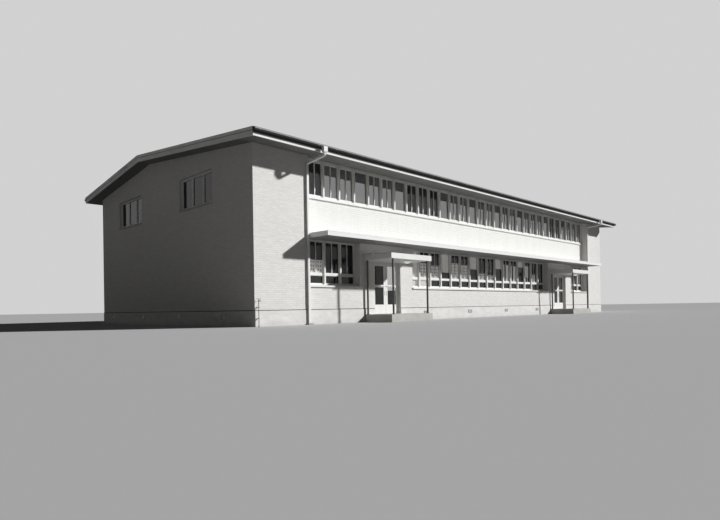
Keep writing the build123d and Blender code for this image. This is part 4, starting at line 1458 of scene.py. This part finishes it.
@dataclass
class RoofWork(Work):
    """Ribs of the roof sheet, ridge screws, lining strips and gutter work."""

    half_length: float = 16.85
    eave_y: float = -8.5125
    rear_eave_y: float = 8.9075
    thickness: float = 0.29
    front_pitch: float = 6.0
    rear_pitch: float = 7.0
    rib_pitch: float = 0.25
    rib_foot: float = 0.05
    rib_crown: float = 0.028
    rib_height: float = 0.022
    cap_reach: float = 0.185
    screw_reach: float = 0.15
    screw_rise: float = 0.012
    screw: tuple[Pair, ...] = (
        (0.0, -0.002), (0.014, -0.002), (0.014, 0.002), (0.008, 0.003), (0.008, 0.009), (0.0, 0.010)
    )
    strip_pitch: float = 1.8
    strip_width: float = 0.045
    strip_depth: float = 0.008
    gable_strips: tuple[tuple[str, float, int, int], ...] = (
        ("front", WALL_FRONT, 5, 1),
        ("rear", WALL_REAR, 4, -1),
    )
    strap_half: float = 0.015
    strap_thick: float = 0.003
    strap_hook: float = 0.02
    gutter_top: float = 7.057
    gutter_rise: float = 0.235
    gutter_out: float = 0.145
    gutter_half: float = 16.9
    gutter_back: float = 0.025
    gutter_lip: float = 0.06
    gutter_base: float = 0.06
    gutter_height: float = 0.115
    gutter_wall: float = 0.004
    bead_radius: float = 0.009
    bead_gap: float = 0.004
    bead_drop: float = 0.008
    end_cap: float = 0.003
    barge_rise: float = 0.326
    barge_gap: float = 0.002
    apron_reach: float = 0.12
    apron_drop: float = 0.052
    apron_fall: float = 0.008
    apron_thick: float = 0.004

    def under(self, y: float) -> float:
        """Gives the height of the roof's underside at a place from front to rear."""
        pitch = self.front_pitch if y < RIDGE_Y else self.rear_pitch
        return RIDGE_UNDER - abs(y - RIDGE_Y) * math.tan(math.radians(pitch))

    def down(self, half: float, pitch: float, ends: Pair, lift: float, section: Point) -> RibRow:
        """Sizes a row of ribs or strips that run down a slope.

        Args:
            half: Half the length of the roof that they cover.
            pitch: Distance from one to the next.
            ends: Y of each one's upper and lower end, or of its wall and eave end.
            lift: Height of their middle over the underside of the roof.
            section: Foot width, crown width and height of each.

        Returns:
            The row.
        """
        start, end = ends
        count = int(2 * half / pitch)
        first = (-(count - 1) / 2 * pitch, start, self.under(start) + lift)
        run = (0.0, end - start, self.under(end) - self.under(start))
        return RibRow(count, first, (pitch, 0.0, 0.0), run, *section)

    def ribs(self) -> None:
        """Lays the ribs of both slopes, from below the ridge cap to the eaves."""
        section = (self.rib_foot, self.rib_crown, self.rib_height)
        lift = self.thickness + self.rib_height / 2
        for name, ends in (
            ("front_roof_ribs", (RIDGE_Y - self.cap_reach, self.eave_y)),
            ("rear_roof_ribs", (RIDGE_Y + self.cap_reach, self.rear_eave_y)),
        ):
            row = self.down(self.half_length, self.rib_pitch, ends, lift, section)
            self.ribber.lay(name, row, ROOF_FLASHING, Slot.ROOF_SHEET)

    def screws(self) -> None:
        """Fixes the ridge cap with a screw on every second rib of both sides."""
        shape = Shape()
        shape.turned(self.screw, ORIGIN, 2, 8)
        places, step = [], 2 * self.rib_pitch
        reach = int(self.half_length / step)
        for k in range(-reach, reach + 1):
            for side in (-1, 1):
                y = RIDGE_Y + side * self.screw_reach
                places.append(((k * step, y, self.under(y) + self.thickness + self.screw_rise), 0.0))
        self.setter.set_out("ridge_screws", shape.done("screw", ROUND), places, STEEL, Slot.ROOF_SHEET)

    def strips(self) -> None:
        """Covers the joints of the lining under the eaves and the gables."""
        section = (self.strip_width, self.strip_width, self.strip_depth)
        for name, ends in (
            ("front_lining_strips", (WALL_FRONT, self.eave_y)),
            ("rear_lining_strips", (WALL_REAR, self.rear_eave_y)),
        ):
            row = self.down(WALL_SIDE, self.strip_pitch, ends, -self.strip_depth / 2, section)
            self.ribber.lay(name, row, LINING_TRIM, Slot.WHITE_PAINT)
        for side, label in ((-1, "left"), (1, "right")):
            for part, start, number, way in self.gable_strips:
                pitch = math.tan(math.radians(self.front_pitch if part == "front" else self.rear_pitch))
                first = (side * WALL_SIDE, start, self.under(start) - self.strip_depth / 2)
                step = (0.0, way * self.strip_pitch, self.strip_pitch * pitch)
                row = RibRow(number, first, step, (side * (self.half_length - WALL_SIDE), 0.0, 0.0), *section)
                self.ribber.lay(f"{label}_{part}_gable_strips", row, LINING_TRIM, Slot.WHITE_PAINT)

    def straps(self) -> None:
        """Ties the gutters back with a strap at every bay."""
        shape, half, thick, lip = Shape(), self.strap_half, self.strap_thick, -self.gutter_out + self.strap_hook
        shape.bar((-half, lip, 0.0), (half, 0.0, thick), 1, 0.001)
        shape.bar((-half, -self.gutter_out - thick, -self.strap_hook), (half, lip, thick), 1, 0.001)
        count = int(2 * self.half_length / BAY)
        places = []
        for k in range(count + 1):
            x = (k - count / 2) * BAY
            places.append(((x, self.eave_y, self.gutter_top), 0.0))
            places.append(((x, self.rear_eave_y, self.under(self.rear_eave_y) + self.gutter_rise), math.pi))
        self.setter.set_out("gutter_straps", shape.done("strap"), places, STEEL, Slot.GUTTER_PAINT)

    def beads(self) -> None:
        """Rolls the outer lip of both gutters into a bead."""
        shape, radius, length = Shape(), self.bead_radius, 2 * self.gutter_half
        front, rear = self.eave_y, self.rear_eave_y
        for y, z in (
            (front - self.gutter_out - self.bead_gap, self.gutter_top),
            (rear + self.gutter_out + self.bead_gap, self.under(rear) + self.gutter_rise),
        ):
            profile = [(0.0, 0.0), (radius, 0.0), (radius, length), (0.0, length)]
            shape.turned(profile, (-self.gutter_half, y, z - self.bead_drop), 0, 10)
        shape.piece("gutter_beads", GUTTER, Slot.GUTTER_PAINT, ROUND)

    def ends(self) -> None:
        """Closes the ends of both gutters and caps the barge boards' ends over them."""
        shape, wall = Shape(), self.gutter_wall
        bottom, outer = wall - self.gutter_height, self.gutter_out - self.gutter_back - wall
        corners = [(wall, 0.0), (wall, bottom), (self.gutter_base - wall, bottom)]
        corners += [(outer, -self.gutter_lip), (outer, 0.0)]
        for eave, out in ((self.eave_y, -1), (self.rear_eave_y, 1)):
            top, back = self.under(eave) + self.gutter_rise, eave + out * self.gutter_back
            for side in (-1, 1):
                section = [(back + out * y, top + z) for y, z in corners]
                shape.length(section, side * (self.gutter_half - self.end_cap), side * self.gutter_half)
            near, far = sorted((back, back + out * wall))
            high = self.under(eave) + self.barge_rise - self.barge_gap
            shape.twins((self.half_length - wall, near, top), (self.gutter_half, far, high), 0, 0.001)
        shape.piece("gutter_ends", GUTTER, Slot.GUTTER_PAINT)

    def aprons(self) -> None:
        """Turns the edge of the roof sheet down into both gutters."""
        shape, reach, fall, thick = Shape(), self.apron_reach, self.apron_fall, self.apron_thick
        rise = self.rib_height + thick
        corners = [(0.0, 0.0), (0.0, rise), (reach, rise - fall), (reach, -self.apron_drop)]
        corners += [(reach - thick, -self.apron_drop), (reach - thick, -fall)]
        for eave, out in ((self.eave_y, -1), (self.rear_eave_y, 1)):
            top = self.under(eave) + self.thickness
            section = [(eave + out * y, top + z) for y, z in corners]
            shape.length(section, -self.half_length, self.half_length)
        shape.piece("eave_aprons", EAVE_TRIM, Slot.ROOF_SHEET)

    def build(self) -> None:
        """Makes everything on the roof and under its edges."""
        self.ribs()
        self.screws()
        self.strips()
        self.straps()
        self.beads()
        self.ends()
        self.aprons()


@dataclass
class RainwaterWork(Work):
    """Clips and gullies of the four downpipes."""

    front_pipe: Pair = (13.75, -7.61)
    rear_pipe: Pair = (15.63, 8.005)
    half_width: float = 0.05
    half_depth: float = 0.0375
    wall_gap: float = 0.0575
    plinth_gap: float = 0.0425
    clip_half: float = 0.016
    clip_thick: float = 0.004
    lug_reach: float = 0.03
    levels: Point = (0.95, 2.95, 4.95)
    kerb_inner: Pair = (0.065, -0.075)
    kerb_outer: Pair = (0.12, -0.13)
    kerb_height: float = 0.07
    kerb_chamfer: float = 0.006

    def places(self, level: float) -> list[Place]:
        """Lists the middle of each pipe at a level and the turn that faces it outwards."""
        pipes = ((self.front_pipe, 0.0), (self.rear_pipe, math.pi))
        return [((side * x, y, level), turn) for side in (-1, 1) for (x, y), turn in pipes]

    def build(self) -> None:
        """Makes the flat bands with lugs on the wall, and square gully kerbs round the feet."""
        clip, w, d, h, thick = Shape(), self.half_width, self.half_depth, self.clip_half, self.clip_thick
        clip.bar((-w - thick, -d - thick, -h), (w + thick, -d, h), 0, 0.001)
        clip.twins((w, -d, -h), (w + thick, self.wall_gap, h), 1, 0.001)
        clip.twins((w + thick, self.wall_gap - thick, -h), (w + self.lug_reach, self.wall_gap, h), 0, 0.001)
        places = [place for level in self.levels for place in self.places(level)]
        self.setter.set_out("downpipe_clips", clip.done("clip"), places, PIPE, Slot.WHITE_METAL)
        kerb, (x, y), (far_x, far_y), top = Shape(), self.kerb_inner, self.kerb_outer, self.kerb_height
        kerb.twins((x, far_y, 0.0), (far_x, self.plinth_gap, top), 1, self.kerb_chamfer)
        kerb.bar((-x, far_y, 0.0), (x, y, top), 0, self.kerb_chamfer)
        self.setter.set_out("gully_kerbs", kerb.done("kerb"), self.places(0.0), CONCRETE, Slot.CONCRETE)


@dataclass
class WallFittings(Work):
    """Vents in the plinth and under the eaves, the damp course and the yard tap."""

    vent_width: float = 0.34
    vent_height: float = 0.17
    vent_level: float = 0.28
    vent_rim: float = 0.012
    vent_depth: float = 0.014
    slats: int = 6
    slat_front: float = -0.012
    slat_tilt: float = 0.8
    slat_lip: float = 0.004
    plinth_front: float = -7.5675
    plinth_rear: float = 7.9625
    plinth_side: float = 16.305
    front_vents: tuple[float, ...] = (-6.2, -2.3, 1.6, 5.5)
    rear_vents: tuple[float, ...] = (-15.0, -11.25, -6.75, -2.25, 2.25, 6.75, 11.25, 15.0)
    side_vents: tuple[float, ...] = (-5.3, -1.4, 2.5, 6.4)
    eave_vents: tuple[float, ...] = (-15.63, -14.06, 14.25, 15.63)
    eave_level: float = 6.81
    eave_share: Pair = (0.62, 0.42)
    damp_levels: Pair = (0.6, 0.626)
    damp_proud: float = 0.006
    damp_lap: float = 0.02
    door_sides: tuple[float, ...] = (-9.9, -8.1, 8.1, 9.9)
    tap_place: Point = (-16.18, -7.66, 0.0)
    tap_height: float = 0.98
    pipe_radius: float = 0.014
    strap_levels: Pair = (0.3, 0.72)
    strap_half: float = 0.02
    strap_front: float = 0.018
    strap_height: float = 0.025

    def louvre(self, share: Pair) -> bpy.types.Mesh:
        """Makes one vent: a rim with tilted slats, foot centre at the origin, back at Y 0.

        Args:
            share: Shares of the full width and height.

        Returns:
            The mesh of the vent.
        """
        shape, rim, front = Shape(), self.vent_rim, -self.vent_depth
        w, h = self.vent_width * share[0] / 2, self.vent_height * share[1]
        shape.twins((w - rim, front, 0.0), (w, 0.0, h), 2, 0.003)
        for low in (0.0, h - rim):
            shape.bar((-w + rim, front, low), (w - rim, 0.0, low + rim), 0, 0.003)
        pitch, front = (h - 2 * rim) / self.slats, self.slat_front
        for k in range(self.slats):
            z = rim + k * pitch
            section = [(front, z), (0.0, z + pitch * self.slat_tilt), (0.0, z + pitch)]
            shape.length(section + [(front, z + self.slat_lip)], -w + rim, w - rim)
        return shape.done("louvre")

    def vents(self) -> None:
        """Sets the vents round the plinth and under the eaves of the end panels."""
        z = self.vent_level
        places = [((x, self.plinth_front, z), 0.0) for x in self.front_vents]
        places += [((x, self.plinth_rear, z), math.pi) for x in self.rear_vents]
        places += [((s * self.plinth_side, y, z), s * math.pi / 2) for y in self.side_vents for s in (-1, 1)]
        self.setter.set_out("wall_vents", self.louvre((1.0, 1.0)), places, VENT_METAL, Slot.STEEL_PAINT)
        places = [((x, WALL_FRONT, self.eave_level), 0.0) for x in self.eave_vents]
        self.setter.set_out("eave_vents", self.louvre(self.eave_share), places, PIPE, Slot.WHITE_METAL)

    def damp_course(self) -> None:
        """Lays the dark damp course on the plinth, all round but for the doorways."""
        shape, (low, high), proud, lap = Shape(), self.damp_levels, self.damp_proud, self.damp_lap
        edges = (-WALL_SIDE - proud, *self.door_sides, WALL_SIDE + proud)
        for left, right in zip(edges[0::2], edges[1::2]):
            shape.bar((left, WALL_FRONT - proud, low), (right, WALL_FRONT + lap, high), 0, 0.001)
        shape.bar((edges[0], WALL_REAR - lap, low), (edges[-1], WALL_REAR + proud, high), 0, 0.001)
        near = (WALL_SIDE - lap, WALL_FRONT + lap, low)
        shape.twins(near, (edges[-1], WALL_REAR - lap, high), 1, 0.001)
        shape.piece("damp_course", GUTTER, Slot.STEEL_PAINT)

    def tap(self) -> None:
        """Stands the yard tap by the near corner and ties it to the wall."""
        x, y, z = self.tap_place
        foot, top, height = self.tap_place, (x, y, z + self.tap_height), self.tap_height
        half, front, inner = self.strap_half, y - self.strap_front, self.pipe_radius
        pipe = Shape()
        pipe.turned([(0.0, 0.0), (inner, 0.0), (inner, height), (0.0, height)], foot, 2, 12)
        pipe.turned([(0.0, 0.0), (0.034, 0.0), (0.03, 0.03), (0.0, 0.03)], foot, 2, 12)
        for low in self.strap_levels:
            high = low + self.strap_height
            pipe.bar((x - half, front, low), (x + half, y - inner, high), 0, 0.001)
            for left, right in ((-half, -inner), (inner, half)):
                pipe.bar((x + left, front, low), (x + right, WALL_FRONT, high), 1, 0.001)
        pipe.piece("standpipe", VENT_METAL, Slot.STEEL_PAINT, ROUND)
        cock = Shape()
        for profile, centre, axis, sides in (
            ([(0.0, -0.03), (0.02, -0.03), (0.022, 0.0), (0.018, 0.03), (0.0, 0.03)], top, 2, 12),
            ([(0.0, -0.11), (0.012, -0.11), (0.014, -0.05), (0.014, 0.0), (0.0, 0.0)], top, 1, 12),
            ([(0.0, -0.05), (0.011, -0.05), (0.012, 0.0), (0.0, 0.004)], (x, y - 0.1, top[2]), 2, 12),
            ([(0.0, 0.03), (0.006, 0.03), (0.006, 0.07), (0.0, 0.07)], top, 2, 10),
        ):
            cock.turned(profile, centre, axis, sides)
        cock.bar((x - 0.1, y - 0.008, top[2] + 0.062), (x + 0.1, y + 0.008, top[2] + 0.08), 0, 0.004)
        cock.piece("yard_tap", VENT_METAL, Slot.STEEL_PAINT, ROUND)

    def build(self) -> None:
        """Makes the vents, the damp course and the tap."""
        self.vents()
        self.damp_course()
        self.tap()


@dataclass
class AwningWork(Work):
    """Joint strips, flashing and drip edge of the long awning."""

    half_length: float = 13.68
    outer_half: float = 13.63
    front: float = -8.7025
    underside: float = 3.552
    front_top: float = 3.742
    back_top: float = 3.772
    strips: int = 15
    strip_pitch: float = 1.8
    strip_width: float = 0.045
    strip_depth: float = 0.006
    strip_margin: float = 0.01
    flashing_reach: float = 0.09
    flashing_rise: float = 0.1
    flashing_fall: float = 0.0017
    drip_drop: float = 0.03
    drip_reach: float = 0.05
    sheet: float = 0.004

    def build(self) -> None:
        """Makes the strips, the flashing and the drip edge."""
        start, wall, sheet = self.front + self.strip_margin, FRAME_FRONT, self.sheet
        first = (-(self.strips - 1) / 2 * self.strip_pitch, start, self.underside - self.strip_depth / 2)
        step, run = (self.strip_pitch, 0.0, 0.0), (0.0, wall - start, 0.0)
        under = RibRow(self.strips, first, step, run, self.strip_width, self.strip_width, self.strip_depth)
        self.ribber.lay("awning_lining_strips", under, AWNING_SHEET, Slot.WHITE_PAINT)
        shape, out, top = Shape(), wall - self.flashing_reach, self.back_top
        low, high = top - self.flashing_fall, top + self.flashing_rise
        flashing = [(wall, top), (out, low), (out, top + 0.001), (wall - sheet, top + sheet)]
        flashing += [(wall - sheet, high), (wall, high)]
        shape.length(flashing, -self.half_length, self.half_length)
        y, z = self.front, self.front_top
        low, back = z - self.drip_drop, y + self.drip_reach
        drip = [(y - sheet, low), (y, low), (y, z), (back, z + 0.001), (back, z + sheet)]
        shape.length(drip + [(y - sheet, z + 0.003)], -self.outer_half, self.outer_half)
        shape.piece("awning_flashings", AWNING_SHEET, Slot.WHITE_PAINT)


@dataclass
class PorchWork(Work):
    """Lamps, upstands and outlets of the porches, and collars of their posts."""

    middles: Pair = (-9.12, 8.88)
    half_width: float = 1.375
    front: float = -9.2025
    underside: float = 2.779
    top: float = 2.999
    slab: float = 0.35
    lamp_spot: Pair = (0.37, -8.58)
    lamp_radius: float = 0.17
    lamp_drop: float = 0.12
    dome_share: float = 0.94
    dome_rim: float = 0.03
    dome_angles: tuple[float, ...] = (0.0, 0.35, 0.7, 1.0, 1.25)
    upstand: Pair = (0.035, 0.02)
    outlet_low: Point = (0.02, -0.5, -0.002)
    outlet_high: Point = (0.06, -0.02, 0.075)
    post_radius: float = 0.045
    post_spots: tuple[Pair, ...] = ((-1.175, -9.0925), (1.175, -9.0925), (-1.32, -7.6625))
    collar: tuple[Pair, ...] = (
        (-0.001, 0.0), (0.035, 0.0), (0.035, 0.006), (0.008, 0.008), (0.006, 0.045), (-0.001, 0.045)
    )

    def lamps(self) -> None:
        """Hangs a round opal lamp under each canopy."""
        glass, ring = Shape(), Shape()
        r, wide, rim = self.lamp_radius, self.lamp_radius * self.dome_share, self.dome_rim
        dome = [(0.0, -0.012), (wide, -0.012)]
        dome += [(wide * math.cos(a), -rim - (self.lamp_drop - rim) * math.sin(a)) for a in self.dome_angles]
        glass.turned(dome + [(0.0, -self.lamp_drop)], ORIGIN, 2, 28)
        ring.turned([(0.0, 0.0), (r, 0.0), (r, -0.022), (r * 0.95, -0.028), (0.0, -0.028)], ORIGIN, 2, 28)
        places = [((m + self.lamp_spot[0], self.lamp_spot[1], self.underside), 0.0) for m in self.middles]
        self.setter.set_out("porch_lamp_glasses", glass.done("lamp_glass", ROUND), places, OPAL, Slot.GLASS)
        self.setter.set_out("porch_lamp_rings", ring.done("lamp_ring", ROUND), places, PIPE, Slot.WHITE_METAL)

    def upstands(self) -> None:
        """Edges each canopy's roof with an upstand and sets its outlet at the left."""
        shape, (thick, rise), y, wall, z = Shape(), self.upstand, self.front, WALL_FRONT, self.top
        high = z + rise
        for middle in self.middles:
            left, right = middle - self.half_width, middle + self.half_width
            shape.bar((left, y, z), (left + thick, wall, high), 1, 0.004)
            shape.bar((right - thick, y, z), (right, wall, high), 1, 0.004)
            shape.bar((left + thick, y, z), (right - thick, y + thick, high), 0, 0.004)
            low, far = (
                tuple(a + b for a, b in zip((left, wall, high), corner))
                for corner in (self.outlet_low, self.outlet_high)
            )
            shape.bar(low, far, 1, 0.006)
        shape.piece("canopy_upstands", WHITE_SHEET, Slot.WHITE_PAINT)

    def collars(self) -> None:
        """Slips a base plate and collar over the foot of each post."""
        shape = Shape()
        profile = [(self.post_radius + out, rise) for out, rise in self.collar]
        shape.turned(profile, ORIGIN, 2, 24, loop=True)
        places = [((m + x, y, self.slab), 0.0) for m in self.middles for x, y in self.post_spots]
        self.setter.set_out("post_collars", shape.done("collar", ROUND), places, POST, Slot.STEEL_PAINT)

    def build(self) -> None:
        """Makes the lamps, upstands and collars."""
        self.lamps()
        self.upstands()
        self.collars()


@dataclass
class DoorLeaf:
    """Kick plates, lock and head closer of one door leaf."""

    body: Body
    left: float
    right: float
    hinge_side: int
    face: float = -7.4025
    back: float = -7.3575
    plate_levels: Pair = (0.386, 0.646)
    plate_inset: float = 0.03
    plate_thick: float = 0.0018
    screw_inset: float = 0.02
    lock_inset: float = 0.065
    lock_half: float = 0.022
    lock_thick: float = 0.004
    lock_levels: Pair = (1.22, 1.42)
    knob_level: float = 1.36
    closer_levels: Pair = (2.623, 2.678)
    closer_inset: float = 0.1
    closer_length: float = 0.22
    closer_depth: float = 0.045

    def build(self) -> None:
        """Makes the leaf's metalwork and fixes it to the leaf."""
        label, front = self.body.value, self.face - self.plate_thick
        plate, (low, high), inset = Shape(), self.plate_levels, self.plate_inset
        for y in (front, self.back):
            far = (self.right - inset, y + self.plate_thick, high)
            plate.bar((self.left + inset, y, low), far, 0, 0.0005)
        edge = inset + self.screw_inset
        for x in (self.left + edge, (self.left + self.right) / 2, self.right - edge):
            for z in (low + self.screw_inset, high - self.screw_inset):
                plate.turned([(0.0, 0.0), (0.006, 0.0), (0.004, -0.002), (0.0, -0.003)], (x, front, z), 1, 8)
        name = f"{label}_kick_plates"
        mount(stand(name, plate.done(name)), WHITE_DOOR, self.body)
        lock, left_hung = Shape(), self.hinge_side < 0
        x = self.right - self.lock_inset if left_hung else self.left + self.lock_inset
        (low, high), front = self.lock_levels, self.face - self.lock_thick
        lock.bar((x - self.lock_half, front, low), (x + self.lock_half, self.face, high), 2, 0.002)
        knob = [(0.0, 0.0), (0.013, 0.0), (0.012, -0.008), (0.0, -0.009)]
        lock.turned(knob, (x, front, self.knob_level), 1, 16)
        reach = self.closer_inset + self.closer_length
        x, (low, high) = self.left + self.closer_inset if left_hung else self.right - reach, self.closer_levels
        lock.bar((x, self.back, low), (x + self.closer_length, self.back + self.closer_depth, high), 0, 0.006)
        name = f"{label}_lock_and_closer"
        mount(stand(name, lock.done(name, ROUND)), STEEL, self.body)


LEAVES = (
    DoorLeaf(Body.LEAF_1, -9.856, -9.003, -1),
    DoorLeaf(Body.LEAF_2, -8.997, -8.144, 1),
    DoorLeaf(Body.LEAF_3, 8.144, 8.997, -1),
    DoorLeaf(Body.LEAF_4, 9.003, 9.856, 1),
)
WORKS = (FrontWindows, WallWindows, RoofWork, RainwaterWork, WallFittings, AwningWork, PorchWork)


def main() -> None:
    """Builds the studio, then each part of the building in order."""
    logging.basicConfig(level=logging.INFO, format="%(name)s %(message)s")
    setter, ribber = Setter(), Ribber()
    Studio().build()
    for finish, nodes in DRESSED:
        dress(finish, nodes.split())
    for work in WORKS:
        work(setter, ribber).build()
    for leaf in LEAVES:
        leaf.build()


if __name__ == "__main__":
    main()
